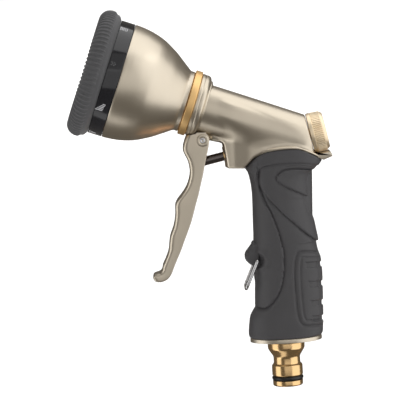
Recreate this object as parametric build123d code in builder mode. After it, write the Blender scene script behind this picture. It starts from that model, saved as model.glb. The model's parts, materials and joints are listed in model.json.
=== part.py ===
"""Hose spray nozzle: pistol grip, front trigger, turning pattern head, rear flow knob, hose plug.

Millimetres. The hose plug's axis is Z, with z = 0 at its lower end; the head points to -X and up.
"""
import os
from math import cos, pi, radians, sin

from build123d import *

os.makedirs("parts", exist_ok=True)

# ---------------------------------------------------------------- driving dimensions
HEAD_TILT = 20.5          # head axis above the level, degrees
VALVE_TILT = 11.5         # valve axis above the level, going rearwards, degrees
HEAD_AT = (-45.5, 159.3)  # where the head axis starts, at the brass neck ring (x, z)
VALVE_AT = (-28.2, 129.1)  # valve axis at the front face of the casting (x, z)
PIVOT_AT = (-39.9, 138.9)  # trigger pin (x, z)
CLIP_AT = (-13.4, 71.3)   # pivot of the wire lock clip (x, z)

RUN = 0.05                # radial running clearance of a shaft in its bore
SEAT = 0.05               # gap between two pieces of one body that are fitted together
FREE = 0.4                # gap between pieces that move past each other

BELL_R = 32.0             # rim of the spray bell and of the dial
BELL_END = 41.1           # bell rim, along the head axis
BELL_WALL = 2.6
NECK_R = 18.2             # brass ring behind the bell
FLANGE_R = 17.4
BARREL_R = 13.8
BARREL_TAPER = 0.7
BARREL_END = -61.0
BARREL_BORE = 9.0
SPIGOT_R = 11.9           # threaded end of the barrel, inside ring and bell
DIAL_LEN = 7.6            # visible black collar
BUMPER_R = 6.3            # radius of the rubber bumper's round section
BUMPER_AT = (29.4, 55.0)  # its centre (radius, along the head axis)
DIAL_LIP_R = 28.5         # front lip of the dial, inside the bumper
DIAL_BORE = 25.6
PORTS = 8                 # spray patterns round the dial
PORT_CIRCLE = 18.0
PORT_R = 3.5
DIAL_SCREW_R = 3.0

VALVE_BORE = 8.5
VALVE_END = 48.0          # rear face of the casting, along the valve axis
HOUSING_R = 11.9
STEM_R = 2.5
SEAT_AT = 18.0            # front of the valve seat, along the valve axis
SEAT_LEN = 3.0
GLAND_R = 5.0
SPINDLE_R = 3.0
SPRING_R = 5.0            # mean radius of the valve spring's coils
SPRING_WIRE = 1.0
KNOB_R = 11.25
KNOB_LEN = 8.9

TRIGGER_W = 15.0
TRIGGER_SLOT = 9.8
TRIGGER_SKIN = 2.6        # thickness of the trigger's front web
PIN_R = 1.6
RIB_W = 9.0
PAD_AT = -16.5            # face that pushes the stem, along the valve axis

GRIP_W = 28.4             # width of the rubber grip across
CORE = (12.0, 9.5)        # half sizes of the metal core inside the grip
CORE_X = 1.5
CHANNEL_R = 5.5
GRIP_BOTTOM = 27.8

PLUG_R = 8.5              # standard quick-connector collar, 17 mm across
PLUG_BORE = 5.0
PLUG_SHOULDER_R = 10.2
PLUG_TOP = 25.2
PLUG_THREAD_R = 8.5
PLUG_THREAD_END = 40.0

CLIP_LEG = 17.0
CLIP_REST = 24.6          # legs forward of straight down, degrees
CLIP_WIRE_R = 0.9
CLIP_Y = 9.2              # legs' centres from the middle plane
BOSS_W = 16.0             # nose of the grip between the clip's legs

# ---------------------------------------------------------------- planes and axes
HEAD_O = (HEAD_AT[0], 0, HEAD_AT[1])
HEAD_FWD = (-cos(radians(HEAD_TILT)), 0, sin(radians(HEAD_TILT)))
HEAD_UP = (sin(radians(HEAD_TILT)), 0, cos(radians(HEAD_TILT)))
HEAD_AXIS = Axis(HEAD_O, HEAD_FWD)
HEAD_CUT = Plane(origin=HEAD_O, x_dir=HEAD_UP, z_dir=(0, -1, 0))    # x radius, y forward
HEAD_FACE = Plane(origin=HEAD_O, x_dir=HEAD_UP, z_dir=HEAD_FWD)     # x up, y across

VALVE_O = (VALVE_AT[0], 0, VALVE_AT[1])
VALVE_DIR = (cos(radians(VALVE_TILT)), 0, sin(radians(VALVE_TILT)))
VALVE_UP = (-sin(radians(VALVE_TILT)), 0, cos(radians(VALVE_TILT)))
VALVE_AXIS = Axis(VALVE_O, VALVE_DIR)
VALVE_CUT = Plane(origin=VALVE_O, x_dir=VALVE_UP, z_dir=(0, 1, 0))  # x radius, y rearwards
VALVE_FACE = Plane(origin=VALVE_O, x_dir=VALVE_UP, z_dir=VALVE_DIR)


def turn(cut, axis, *points, mode=Mode.ADD):
    """Turn a closed profile of (radius, along) points about an axis."""
    with BuildSketch(cut) as profile:
        with BuildLine():
            Polyline(*points, close=True)
        make_face()
    revolve(profile.sketch, axis=axis, mode=mode)


def tube(cut, axis, outer, inner, start, end, mode=Mode.ADD):
    """A ring or disc of square section about an axis."""
    turn(cut, axis, (inner, start), (outer, start), (outer, end), (inner, end), mode=mode)


def torus(cut, axis, radius, along, section, mode=Mode.ADD):
    """A round-section ring about an axis."""
    with BuildSketch(cut) as profile:
        with Locations((radius, along)):
            Circle(section)
    revolve(profile.sketch, axis=axis, mode=mode)


def side(width, *points, mode=Mode.ADD):
    """Stretch a side-view outline of (x, z) points across the middle plane."""
    with BuildSketch(Plane.XZ) as outline:
        with BuildLine():
            Polyline(*points, close=True)
        make_face()
    extrude(outline.sketch, amount=width / 2, both=True, mode=mode)


def along_valve(t, h=0.0):
    """Side-view point at a distance along the valve axis and above it."""
    return (VALVE_AT[0] + t * VALVE_DIR[0] + h * VALVE_UP[0],
            VALVE_AT[1] + t * VALVE_DIR[2] + h * VALVE_UP[2])


# ================================================================ hose plug (turned brass)
GROOVE = (3.05, 5.65)
ORING_R, ORING_SECTION = PLUG_R - 1.0, 1.2
with BuildPart() as hose_plug:
    turn(
        Plane.XZ, Axis.Z,
        (PLUG_BORE, 0), (PLUG_R - 0.7, 0), (PLUG_R - 0.2, 0.5), (PLUG_R - 0.2, GROOVE[0]),
        (PLUG_R - 2.25, GROOVE[0]), (PLUG_R - 2.25, GROOVE[1]), (PLUG_R - 0.3, GROOVE[1]),
        (PLUG_R, GROOVE[1] + 0.3), (PLUG_R, 11.6), (PLUG_R - 1.15, 12.6), (PLUG_R - 1.15, 16.6),
        (PLUG_SHOULDER_R - 0.6, 19.9), (PLUG_SHOULDER_R, 21.0), (PLUG_SHOULDER_R, 24.4),
        (PLUG_SHOULDER_R - 0.5, PLUG_TOP), (PLUG_THREAD_R, PLUG_TOP),
        (PLUG_THREAD_R, PLUG_THREAD_END), (PLUG_BORE, PLUG_THREAD_END),
    )
hose_plug.part.label = "hose_plug"

with BuildPart() as plug_oring:
    torus(Plane.XZ, Axis.Z, ORING_R, sum(GROOVE) / 2, ORING_SECTION)
plug_oring.part.label = "plug_oring"

with BuildPart() as inlet_screen:
    tube(Plane.XZ, Axis.Z, PLUG_THREAD_R - 0.1, 0, PLUG_THREAD_END + SEAT, PLUG_THREAD_END + 1.2)
    with BuildSketch(Plane.XY.offset(PLUG_THREAD_END)):
        with HexLocations(0.95, 5, 5):
            Circle(0.6)
    extrude(amount=2, mode=Mode.SUBTRACT)
inlet_screen.part.label = "inlet_screen"

# ================================================================ end ring under the grip
with BuildPart() as end_ring:
    with BuildSketch(Plane.XY.offset(PLUG_TOP + SEAT)):
        with Locations((0.2, 0)):
            Ellipse(19.8, GRIP_W / 2 + 0.6)
        Circle(PLUG_THREAD_R + 0.1, mode=Mode.SUBTRACT)
    extrude(amount=GRIP_BOTTOM - PLUG_TOP - 2 * SEAT)
    chamfer(end_ring.edges().group_by(Axis.Z)[0].sort_by(SortBy.LENGTH)[-1], 0.6)
end_ring.part.label = "end_ring"

# ================================================================ rubber grip
# (z, front x, rear x, share of the full width)
GRIP_STATIONS = (
    (27.8, -19.9, 20.0, 1.04), (36.0, -19.5, 21.2, 1.07), (45.0, -16.4, 21.5, 1.03),
    (58.0, -15.5, 21.9, 1.0), (72.0, -15.4, 21.1, 1.0), (88.0, -14.8, 19.5, 0.98),
    (103.0, -14.5, 16.9, 0.96), (112.0, -14.7, 17.1, 0.96), (119.0, -16.2, 19.3, 0.97),
    (124.6, -18.6, 24.8, 0.97), (133.0, -18.6, 25.2, 0.95),
)
ARCH = ((-17.6, 122.2), (-12.6, 127.3), (-7.1, 130.4), (-0.3, 131.7), (6.4, 132.0),
        (13.0, 131.3), (19.5, 128.2), (25.6, 124.4))
RIM = 1.5
with BuildPart() as grip_sleeve:
    for z, front, rear, share in GRIP_STATIONS:
        with BuildSketch(Plane.XY.offset(z)):
            with Locations(((front + rear) / 2, 0)):
                Ellipse((rear - front) / 2, GRIP_W * share / 2)
    loft(ruled=True)
    side(BOSS_W, (-12, 80.5), (-15.0, 80.5), (-16.3, 78.5), (-18.2, 76.4), (-19.9, 74.3),
         (-19.8, 72.1), (-17.9, 69.7), (-15.6, 68.2), (-12, 66.5))
    # top edge, under the casting's arched rim
    side(60, (-40, 122.2), *ARCH, (40, 124.4), (40, 150), (-40, 150), mode=Mode.SUBTRACT)
    # room for the metal core and the valve housing
    with BuildSketch(Plane.XY.offset(GRIP_BOTTOM - 1)):
        with Locations((CORE_X, 0)):
            Ellipse(CORE[0] + SEAT, CORE[1] + SEAT)
    extrude(amount=110, mode=Mode.SUBTRACT)
    tube(VALVE_CUT, VALVE_AXIS, HOUSING_R + SEAT, 0, 6, VALVE_END + 2, mode=Mode.SUBTRACT)
    # clip pivot holes and the recesses round them
    with BuildSketch(Plane.XZ):
        with Locations(CLIP_AT):
            Circle(CLIP_WIRE_R + RUN)
    extrude(amount=BOSS_W, both=True, mode=Mode.SUBTRACT)
    for way in (1, -1):
        with BuildSketch(Plane.XZ.offset(way * (BOSS_W / 2 + 3.2))):
            with Locations(CLIP_AT):
                Circle(3.4)
        extrude(amount=3.2, both=True, mode=Mode.SUBTRACT)
    # finger grooves of the rear pad
    for z in (35.0, 45.2, 55.8, 66.4):
        with BuildSketch(Plane.XY.offset(z - 1.6)):
            with Locations((32.9, 0)):
                Rectangle(26, 18)
        extrude(amount=3.2, mode=Mode.SUBTRACT)
grip_sleeve.part.label = "grip_sleeve"

# ================================================================ zinc casting
with BuildPart() as saddle_rim:
    side(GRIP_W, *[(x, z + SEAT) for x, z in ARCH], *[(x, z + RIM) for x, z in reversed(ARCH)])
    with BuildSketch(Plane.XY.offset(110)):
        with Locations((3.5, 0)):
            Ellipse(22.3, GRIP_W / 2)
    extrude(amount=40, mode=Mode.INTERSECT)

with BuildPart() as valve_block:
    side(25.4, (-29.9, 137.8), along_valve(0, -6.4), (-18.1, 122.3), *[(x, z + RIM - 0.2) for x, z in ARCH[:-1]],
         along_valve(VALVE_END, -10.9), along_valve(VALVE_END, 10.6), (6, 148), (-24, 150))
    with BuildSketch(Plane.XY.offset(110)):
        with BuildLine():
            Polyline((-31, -6.6), (-22, -8.0), (-13, -11.6), (-4, -12.7), (24, -12.2),
                     (24, 12.2), (-4, 12.7), (-13, 11.6), (-22, 8.0), (-31, 6.6), close=True)
        make_face()
    extrude(amount=50, mode=Mode.INTERSECT)

with BuildPart() as body_casting:
    # barrel, rear flange and threaded spigot
    turn(
        HEAD_CUT, HEAD_AXIS,
        (0, 9.6), (SPIGOT_R, 9.6), (SPIGOT_R, -2.1), (FLANGE_R - 0.4, -2.1), (FLANGE_R, -2.6),
        (FLANGE_R, -3.7), (FLANGE_R - 0.5, -4.0), (FLANGE_R, -4.3), (FLANGE_R - 0.5, -5.8),
        (FLANGE_R - 1.7, -7.1), (BARREL_R + 0.4, -7.6), (BARREL_R, -8.6),
        (BARREL_R - BARREL_TAPER, BARREL_END + 2), (BARREL_R - BARREL_TAPER - 2, BARREL_END),
        (0, BARREL_END),
    )
    add(valve_block.part)
    add(saddle_rim.part)
    # valve housing, behind the flat front face of the block
    turn(
        VALVE_CUT, VALVE_AXIS,
        (0, 3.0), (6.3, 3.0), (8.4, 10.0), (HOUSING_R, 16.0), (HOUSING_R, VALVE_END - 1.0),
        (HOUSING_R - 0.6, VALVE_END), (0, VALVE_END),
    )
    # trigger bracket under the barrel
    side(RIB_W, (-43.3, 147), (-43.3, 138.9), (-39.9, 137.0), (-35.9, 138.5), (-29.0, 136.6),
         (-26.0, 137), (-26.0, 148))
    with BuildSketch(Plane.XZ):
        with Locations(PIVOT_AT):
            Circle(3.4)
    extrude(amount=RIB_W / 2, both=True)
    # tongue behind the grip, under the knob
    side(14.0, (14, 132.2), (19.5, 129.0), (24.0, 127.6), (29.6, 129.0), (30.8, 126.3),
         (25.6, 124.45), (19.5, 128.25), (14, 131.0))
    # metal core of the handle
    with BuildSketch(Plane.XY.offset(GRIP_BOTTOM)):
        with Locations((CORE_X, 0)):
            Ellipse(*CORE)
    extrude(amount=100)
    # water way: handle channel, valve bore, passage up to the barrel
    tube(Plane.XZ, Axis.Z, PLUG_THREAD_R + SEAT, 0, GRIP_BOTTOM - 1, PLUG_THREAD_END + 1.3, mode=Mode.SUBTRACT)
    tube(Plane.XZ, Axis.Z, CHANNEL_R + 1.5, 0, PLUG_THREAD_END, 118, mode=Mode.SUBTRACT)
    tube(Plane.XZ, Axis.Z, CHANNEL_R, 0, 117, 128, mode=Mode.SUBTRACT)
    turn(
        VALVE_CUT, VALVE_AXIS,
        (0, -1), (GLAND_R + SEAT, -1), (GLAND_R + SEAT, 8.1), (STEM_R + 0.4, 8.1), (STEM_R + 0.4, 9.6),
        (6.5, 9.6), (6.5, SEAT_AT - SEAT), (VALVE_BORE, SEAT_AT - SEAT), (VALVE_BORE, VALVE_END + 1),
        (0, VALVE_END + 1), mode=Mode.SUBTRACT,
    )
    tube(HEAD_CUT, HEAD_AXIS, BARREL_BORE, 0, -30, 12, mode=Mode.SUBTRACT)
    with BuildSketch(Plane.XY.offset(131)):
        with Locations((-17.0, 0)):
            Circle(4.4)
    extrude(amount=16, mode=Mode.SUBTRACT)
    # room for the knob over the rear tongue
    tube(VALVE_CUT, VALVE_AXIS, KNOB_R + FREE, 0, VALVE_END, VALVE_END + 12, mode=Mode.SUBTRACT)
    # trigger pin bore
    with BuildSketch(Plane.XZ):
        with Locations(PIVOT_AT):
            Circle(PIN_R + 0.02)
    extrude(amount=RIB_W, both=True, mode=Mode.SUBTRACT)
body_casting.part.label = "body_casting"

# ================================================================ trigger and its pin
TRIGGER_FRONT = (
    (-47.0, 142.6), (-49.6, 139.6), (-50.9, 135.9), (-50.9, 133.5), (-49.9, 131.2), (-48.7, 128.2),
    (-48.0, 124.6), (-47.9, 121.4), (-48.4, 118.0), (-49.9, 113.8), (-53.0, 109.6),
    (-55.9, 106.3), (-57.0, 103.4), (-57.0, 98.8), (-58.2, 92.4), (-60.6, 86.8), (-61.4, 83.2),
    (-61.9, 79.0), (-63.6, 74.6), (-65.6, 70.6), (-66.6, 67.8),
)
TRIGGER_TOE = ((-68.6, 66.6), (-70.7, 66.1), (-71.3, 64.8), (-71.0, 63.3), (-69.0, 62.3),
               (-66.4, 62.1), (-63.6, 63.2), (-61.4, 65.2))
TRIGGER_REAR = ((-59.2, 69.8), (-55.4, 78.5), (-51.8, 87.2), (-48.6, 95.9), (-45.5, 104.6),
                (-42.8, 113.3), (-40.3, 122.0), (-38.0, 130.6), (-36.6, 136.3))
EYE_R = 4.3
with BuildPart() as trigger:
    side(TRIGGER_W, *TRIGGER_FRONT, *TRIGGER_TOE, *TRIGGER_REAR, (-37.2, 142.0), (-42.5, 143.0))
    with BuildSketch(Plane.XZ):
        with Locations(PIVOT_AT):
            Circle(EYE_R)
    extrude(amount=TRIGGER_W / 2, both=True)
    # channel between the two cheeks, open to the rear and over the bracket
    side(TRIGGER_SLOT, *[(x + TRIGGER_SKIN, z) for x, z in TRIGGER_FRONT[1:-1]], (-61.4, 67.6),
         (-20, 67.6), (-20, 150), (-47.0, 150), mode=Mode.SUBTRACT)
    # pad that pushes the valve stem
    side(TRIGGER_SLOT + 1, along_valve(PAD_AT - 2.6, 3.2), along_valve(PAD_AT - 2.6, -3.2),
         along_valve(PAD_AT, -3.2), along_valve(PAD_AT, 3.2))
    # clearance under the flange and the barrel
    turn(HEAD_CUT, HEAD_AXIS, (0, 6), (FLANGE_R + FREE, 6), (FLANGE_R + FREE, -5.4),
         (FLANGE_R - 1.0, -7.9), (BARREL_R + 0.5, -8.6), (BARREL_R + 0.5, -30), (0, -30), mode=Mode.SUBTRACT)
    with BuildSketch(Plane.XZ):
        with Locations(PIVOT_AT):
            Circle(PIN_R + RUN)
    extrude(amount=TRIGGER_W, both=True, mode=Mode.SUBTRACT)
trigger.part.label = "trigger"

with BuildPart() as trigger_pin:
    with BuildSketch(Plane.XZ):
        with Locations(PIVOT_AT):
            Circle(PIN_R)
    extrude(amount=TRIGGER_W / 2 + 0.2, both=True)
    for way in (1, -1):
        with BuildSketch(Plane.XZ.offset(way * (TRIGGER_W / 2 + 0.2))):
            with Locations(PIVOT_AT):
                Circle(0.6)
        extrude(amount=0.5, both=True, mode=Mode.SUBTRACT)
trigger_pin.part.label = "trigger_pin"

# ================================================================ valve: gland, stem, seat, spring
STEM_TIP = PAD_AT + 0.3
with BuildPart() as stem_gland:
    tube(VALVE_CUT, VALVE_AXIS, GLAND_R, STEM_R + RUN, -0.4, 5.5)
    with BuildSketch(VALVE_FACE.offset(-0.4)):
        with Locations((4.3, 0), (-4.3, 0)):
            Rectangle(1.6, 1.2)
    extrude(amount=1.2, mode=Mode.SUBTRACT)
stem_gland.part.label = "stem_gland"

with BuildPart() as stem_seal:
    torus(VALVE_CUT, VALVE_AXIS, STEM_R + RUN + 1.2, 6.8, 1.2)
stem_seal.part.label = "stem_seal"

WASHER_AT = SEAT_AT + SEAT_LEN + 0.1
WASHER_LEN, POPPET_LEN, NUT_LEN = 2.0, 3.0, 2.8
THREAD_R = 2.0
POPPET_AT = WASHER_AT + WASHER_LEN
NUT_AT = POPPET_AT + POPPET_LEN
with BuildPart() as valve_stem:
    turn(
        VALVE_CUT, VALVE_AXIS,
        (0, STEM_TIP), (1.0, STEM_TIP + 0.2), (1.8, STEM_TIP + 0.8), (2.3, STEM_TIP + 1.6),
        (STEM_R, STEM_TIP + 2.5), (STEM_R, WASHER_AT), (THREAD_R, WASHER_AT),
        (THREAD_R, NUT_AT + NUT_LEN + 0.8), (0, NUT_AT + NUT_LEN + 0.8),
    )
valve_stem.part.label = "valve_stem"

with BuildPart() as valve_seat:
    turn(
        VALVE_CUT, VALVE_AXIS,
        (4.0, SEAT_AT), (VALVE_BORE - SEAT, SEAT_AT), (VALVE_BORE - SEAT, SEAT_AT + SEAT_LEN - 0.6),
        (5.6, SEAT_AT + SEAT_LEN - 0.6), (5.0, SEAT_AT + SEAT_LEN), (4.0, SEAT_AT + SEAT_LEN),
    )
valve_seat.part.label = "valve_seat"

with BuildPart() as valve_washer:
    tube(VALVE_CUT, VALVE_AXIS, 5.9, THREAD_R + 0.02, WASHER_AT, POPPET_AT)
valve_washer.part.label = "valve_washer"

with BuildPart() as valve_poppet:
    tube(VALVE_CUT, VALVE_AXIS, 6.2, THREAD_R + 0.02, POPPET_AT, NUT_AT)
valve_poppet.part.label = "valve_poppet"

with BuildPart() as valve_nut:
    with BuildSketch(VALVE_FACE.offset(NUT_AT)):
        RegularPolygon(3.5, 6, major_radius=False)
        Circle(THREAD_R + 0.02, mode=Mode.SUBTRACT)
    extrude(amount=NUT_LEN)
valve_nut.part.label = "valve_nut"

SLEEVE_WALL_AT = 42.3
SPRING_AT = NUT_AT + 0.05
with BuildPart() as valve_spring:
    length = SLEEVE_WALL_AT - SPRING_AT - SPRING_WIRE - 0.1
    with BuildLine() as coil:
        Helix(pitch=length / 6.0, height=length, radius=SPRING_R, direction=VALVE_DIR,
              center=VALVE_FACE.offset(SPRING_AT + SPRING_WIRE / 2).origin)
    with BuildSketch(Plane(coil.line @ 0, z_dir=coil.line % 0)):
        Circle(SPRING_WIRE / 2)
    sweep(path=coil.line)
valve_spring.part.label = "valve_spring"

# ================================================================ rear bonnet, flow sleeve and knob
BONNET_AT = 44.4
with BuildPart() as valve_bonnet:
    turn(
        VALVE_CUT, VALVE_AXIS,
        (SPINDLE_R + RUN, BONNET_AT), (VALVE_BORE - SEAT, BONNET_AT), (VALVE_BORE - SEAT, VALVE_END),
        (SPINDLE_R + RUN, VALVE_END), (SPINDLE_R + RUN, 47.1), (4.7, 47.1), (4.7, 45.3),
        (SPINDLE_R + RUN, 45.3),
    )
valve_bonnet.part.label = "valve_bonnet"

with BuildPart() as bonnet_oring:
    torus(VALVE_CUT, VALVE_AXIS, SPINDLE_R + RUN + 0.8, 46.2, 0.8)
bonnet_oring.part.label = "bonnet_oring"

SLEEVE_R = VALVE_BORE - 0.08
KNOB_AT = VALVE_END + FREE
with BuildPart() as flow_sleeve:
    turn(
        VALVE_CUT, VALVE_AXIS,
        (7.0, SEAT_AT + SEAT_LEN + FREE), (SLEEVE_R, SEAT_AT + SEAT_LEN + FREE),
        (SLEEVE_R, BONNET_AT - FREE), (SPINDLE_R, BONNET_AT - FREE), (SPINDLE_R, KNOB_AT + KNOB_LEN - 2.4),
        (0, KNOB_AT + KNOB_LEN - 2.4), (0, SLEEVE_WALL_AT), (7.0, SLEEVE_WALL_AT),
    )
    # window that meters the water coming up the handle
    with BuildSketch(VALVE_FACE.offset(25.5)):
        with BuildLine():
            Polyline((0, 0), (-14, -13), (-20, 0), (-14, 13), close=True)
        make_face()
    extrude(amount=11.5, mode=Mode.SUBTRACT)
    tube(VALVE_CUT, VALVE_AXIS, 1.27, 0, KNOB_AT + KNOB_LEN - 8.5, KNOB_AT + KNOB_LEN, mode=Mode.SUBTRACT)
flow_sleeve.part.label = "flow_sleeve"

with BuildPart() as flow_knob:
    turn(
        VALVE_CUT, VALVE_AXIS,
        (SPINDLE_R + 0.03, KNOB_AT), (KNOB_R - 0.5, KNOB_AT), (KNOB_R, KNOB_AT + 0.5),
        (KNOB_R - 0.5, KNOB_AT + KNOB_LEN - 1.2), (KNOB_R - 1.6, KNOB_AT + KNOB_LEN),
        (4.2, KNOB_AT + KNOB_LEN), (4.2, KNOB_AT + KNOB_LEN - 2.3), (SPINDLE_R + 0.03, KNOB_AT + KNOB_LEN - 2.3),
    )
flow_knob.part.label = "flow_knob"

with BuildPart() as knob_screw:
    head = KNOB_AT + KNOB_LEN - 2.25
    turn(VALVE_CUT, VALVE_AXIS, (0, head - 5.5), (1.25, head - 5.5), (1.25, head), (3.6, head),
         (3.6, head + 0.9), (2.9, head + 1.7), (0, head + 1.7))
    with BuildSketch(VALVE_FACE.offset(head + 1.7)):
        Rectangle(4.2, 0.8)
        Rectangle(0.8, 4.2)
    extrude(amount=-0.9, mode=Mode.SUBTRACT)
knob_screw.part.label = "knob_screw"

# ================================================================ neck ring and spray bell
with BuildPart() as neck_ring:
    turn(HEAD_CUT, HEAD_AXIS, (SPIGOT_R + SEAT, -2.0), (NECK_R - 0.6, -2.0), (NECK_R, -1.3),
         (NECK_R, 1.2), (NECK_R - 0.6, 1.9), (SPIGOT_R + SEAT, 1.9))
neck_ring.part.label = "neck_ring"

BELL_OUTER = ((0.508, 1.95), (0.528, 2.6), (0.528, 4.4), (0.545, 5.3), (0.5625, 6.0), (0.672, 11.3),
              (0.756, 14.4), (0.825, 18.5), (0.9125, 24.7), (0.969, 31.0), (0.994, 36.0), (1.0, 39.9),
              (0.995, BELL_END - 0.5), (0.98, BELL_END))
PLATE_AT, PLATE_LEN = 34.2, 4.8
GASKET_AT = PLATE_AT - 1.0
POCKET_R = BELL_R - 2.5
with BuildPart() as spray_bell:
    turn(
        HEAD_CUT, HEAD_AXIS,
        *[(r * BELL_R, s) for r, s in BELL_OUTER],
        (POCKET_R, BELL_END), (POCKET_R, GASKET_AT), (BELL_R - 5.6, GASKET_AT),
        *[(r * BELL_R - BELL_WALL, s + 0.6) for r, s in reversed(BELL_OUTER[5:9])],
        (SPIGOT_R + SEAT, 10.2), (SPIGOT_R + SEAT, 1.95),
    )
spray_bell.part.label = "spray_bell"

with BuildPart() as bell_gasket:
    tube(HEAD_CUT, HEAD_AXIS, POCKET_R - 0.1, BELL_R - 5.5, GASKET_AT + SEAT, PLATE_AT - SEAT)
bell_gasket.part.label = "bell_gasket"

# ================================================================ port plate, seal, detent and screw
PLATE_FRONT = PLATE_AT + PLATE_LEN
DETENT_CIRCLE = 27.2
with BuildPart() as port_plate:
    tube(HEAD_CUT, HEAD_AXIS, POCKET_R - SEAT, 0, PLATE_AT, PLATE_FRONT)
    tube(HEAD_CUT, HEAD_AXIS, 6.0, 0, PLATE_AT - 8, PLATE_AT)
    with BuildSketch(HEAD_FACE.offset(PLATE_AT - 9)):
        Circle(DIAL_SCREW_R + 0.02)
    extrude(amount=PLATE_LEN + 10, mode=Mode.SUBTRACT)
    with BuildSketch(HEAD_FACE.offset(PLATE_AT - 1)):
        with Locations((PORT_CIRCLE, 0)):
            Circle(PORT_R)
    extrude(amount=PLATE_LEN + 2, mode=Mode.SUBTRACT)
    with BuildSketch(HEAD_FACE.offset(PLATE_FRONT)):
        with Locations((PORT_CIRCLE, 0)):
            Circle(PORT_R + 1.6)
    extrude(amount=-2.0, mode=Mode.SUBTRACT)
    with BuildSketch(HEAD_FACE.offset(PLATE_FRONT)):
        with Locations((-DETENT_CIRCLE, 0)):
            Circle(1.6)
    extrude(amount=-4.2, mode=Mode.SUBTRACT)
port_plate.part.label = "port_plate"

with BuildPart() as port_seal:
    with BuildSketch(HEAD_FACE.offset(PLATE_FRONT - 1.95)):
        with Locations((PORT_CIRCLE, 0)):
            Circle(PORT_R + 1.55)
            Circle(PORT_R, mode=Mode.SUBTRACT)
    extrude(amount=2.35)
port_seal.part.label = "port_seal"

with BuildPart() as detent_spring:
    with BuildLine() as detent_coil:
        Helix(pitch=0.45, height=1.35, radius=1.1, direction=HEAD_FWD,
              center=HEAD_FACE.offset(PLATE_FRONT - 3.9).from_local_coords((-DETENT_CIRCLE, 0, 0)))
    with BuildSketch(Plane(detent_coil.line @ 0, z_dir=detent_coil.line % 0)):
        Circle(0.15)
    sweep(path=detent_coil.line)
detent_spring.part.label = "detent_spring"

with BuildPart() as detent_ball:
    with Locations(HEAD_FACE.offset(PLATE_FRONT - 0.75).location * Location((-DETENT_CIRCLE, 0, 0))):
        Sphere(1.45)
detent_ball.part.label = "detent_ball"

FACE_AT, FACE_LEN = 52.0, 3.0
with BuildPart() as dial_screw:
    head = FACE_AT + FACE_LEN + FREE
    turn(HEAD_CUT, HEAD_AXIS, (0, PLATE_AT - 7.5), (DIAL_SCREW_R, PLATE_AT - 7.5), (DIAL_SCREW_R, head),
         (5.6, head), (5.6, head + 1.2), (4.4, head + 2.6), (0, head + 2.8))
    with BuildSketch(HEAD_FACE.offset(head + 3)):
        Rectangle(6.0, 1.1)
        Rectangle(1.1, 6.0)
    extrude(amount=-1.8, mode=Mode.SUBTRACT)
dial_screw.part.label = "dial_screw"

# ================================================================ turning dial: collar, face, bumper
DIAL_AT = BELL_END + 0.3
DIAL_END = DIAL_AT + DIAL_LEN
with BuildPart() as dial_collar:
    turn(
        HEAD_CUT, HEAD_AXIS,
        (DIAL_BORE, PLATE_FRONT + 1.1), (POCKET_R - 0.3, PLATE_FRONT + 1.1), (POCKET_R - 0.3, DIAL_AT),
        (BELL_R - 0.5, DIAL_AT), (BELL_R, DIAL_AT + 0.5), (BELL_R, DIAL_END - 0.4),
        (BELL_R - 0.4, DIAL_END), (DIAL_LIP_R, DIAL_END), (DIAL_LIP_R, BUMPER_AT[1] + 2.0),
        (DIAL_BORE, BUMPER_AT[1] + 2.0),
    )
    for k in range(PORTS):
        with Locations(HEAD_FACE.offset(PLATE_FRONT + 0.5).location
                       * Location((DETENT_CIRCLE * cos(2 * pi * k / PORTS),
                                   DETENT_CIRCLE * sin(2 * pi * k / PORTS), 0))):
            Sphere(1.45, mode=Mode.SUBTRACT)
dial_collar.part.label = "dial_collar"

with BuildPart() as dial_face:
    tube(HEAD_CUT, HEAD_AXIS, DIAL_BORE - SEAT, 0, FACE_AT, FACE_AT + FACE_LEN)
    with BuildSketch(HEAD_FACE.offset(PLATE_FRONT + 0.7)):
        Circle(6.4)
        with PolarLocations(PORT_CIRCLE, PORTS):
            Circle(PORT_R + 1.5)
    extrude(amount=FACE_AT - PLATE_FRONT - 0.7)
    with BuildSketch(HEAD_FACE.offset(PLATE_FRONT)):
        Circle(DIAL_SCREW_R + RUN)
    extrude(amount=20, mode=Mode.SUBTRACT)
    with BuildSketch(HEAD_FACE.offset(PLATE_FRONT)):
        with PolarLocations(PORT_CIRCLE, PORTS):
            Circle(PORT_R)
    extrude(amount=FACE_AT - PLATE_FRONT + 1.2, mode=Mode.SUBTRACT)
    # outlets: jet, cone, shower, flat, mist, soaker, full and centre patterns
    with BuildSketch(HEAD_FACE.offset(FACE_AT - 1)):
        places = [(PORT_CIRCLE * cos(2 * pi * k / PORTS), PORT_CIRCLE * sin(2 * pi * k / PORTS))
                  for k in range(PORTS)]
        with Locations(places[0]):
            Circle(1.1)
        with Locations(places[1]):
            with PolarLocations(2.4, 8):
                Circle(0.5)
        with Locations(places[2]):
            with HexLocations(0.8, 4, 4):
                Circle(0.35)
        with Locations(places[3]):
            SlotOverall(6.0, 1.0)
        with Locations(places[4]):
            with PolarLocations(1.4, 3):
                Circle(0.4)
        with Locations(places[5]):
            Circle(2.6)
        with Locations(places[6]):
            with PolarLocations(2.4, 6):
                Circle(0.6)
            Circle(0.7)
        with Locations(places[7]):
            SlotOverall(6.0, 1.0, rotation=90)
    extrude(amount=FACE_LEN + 2, mode=Mode.SUBTRACT)
dial_face.part.label = "dial_face"

with BuildPart() as dial_bumper:
    with BuildSketch(HEAD_CUT):
        with Locations(BUMPER_AT):
            Circle(BUMPER_R)
        with Locations((DIAL_LIP_R + SEAT - 20, BUMPER_AT[1] + 2.0 + SEAT - 20)):
            Rectangle(20, 20, align=(Align.MIN, Align.MIN), mode=Mode.SUBTRACT)
        with Locations((0, DIAL_END + SEAT)):
            Rectangle(60, 40, align=(Align.MIN, Align.MAX), mode=Mode.SUBTRACT)
    revolve(axis=HEAD_AXIS)
dial_bumper.part.label = "dial_bumper"

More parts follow.
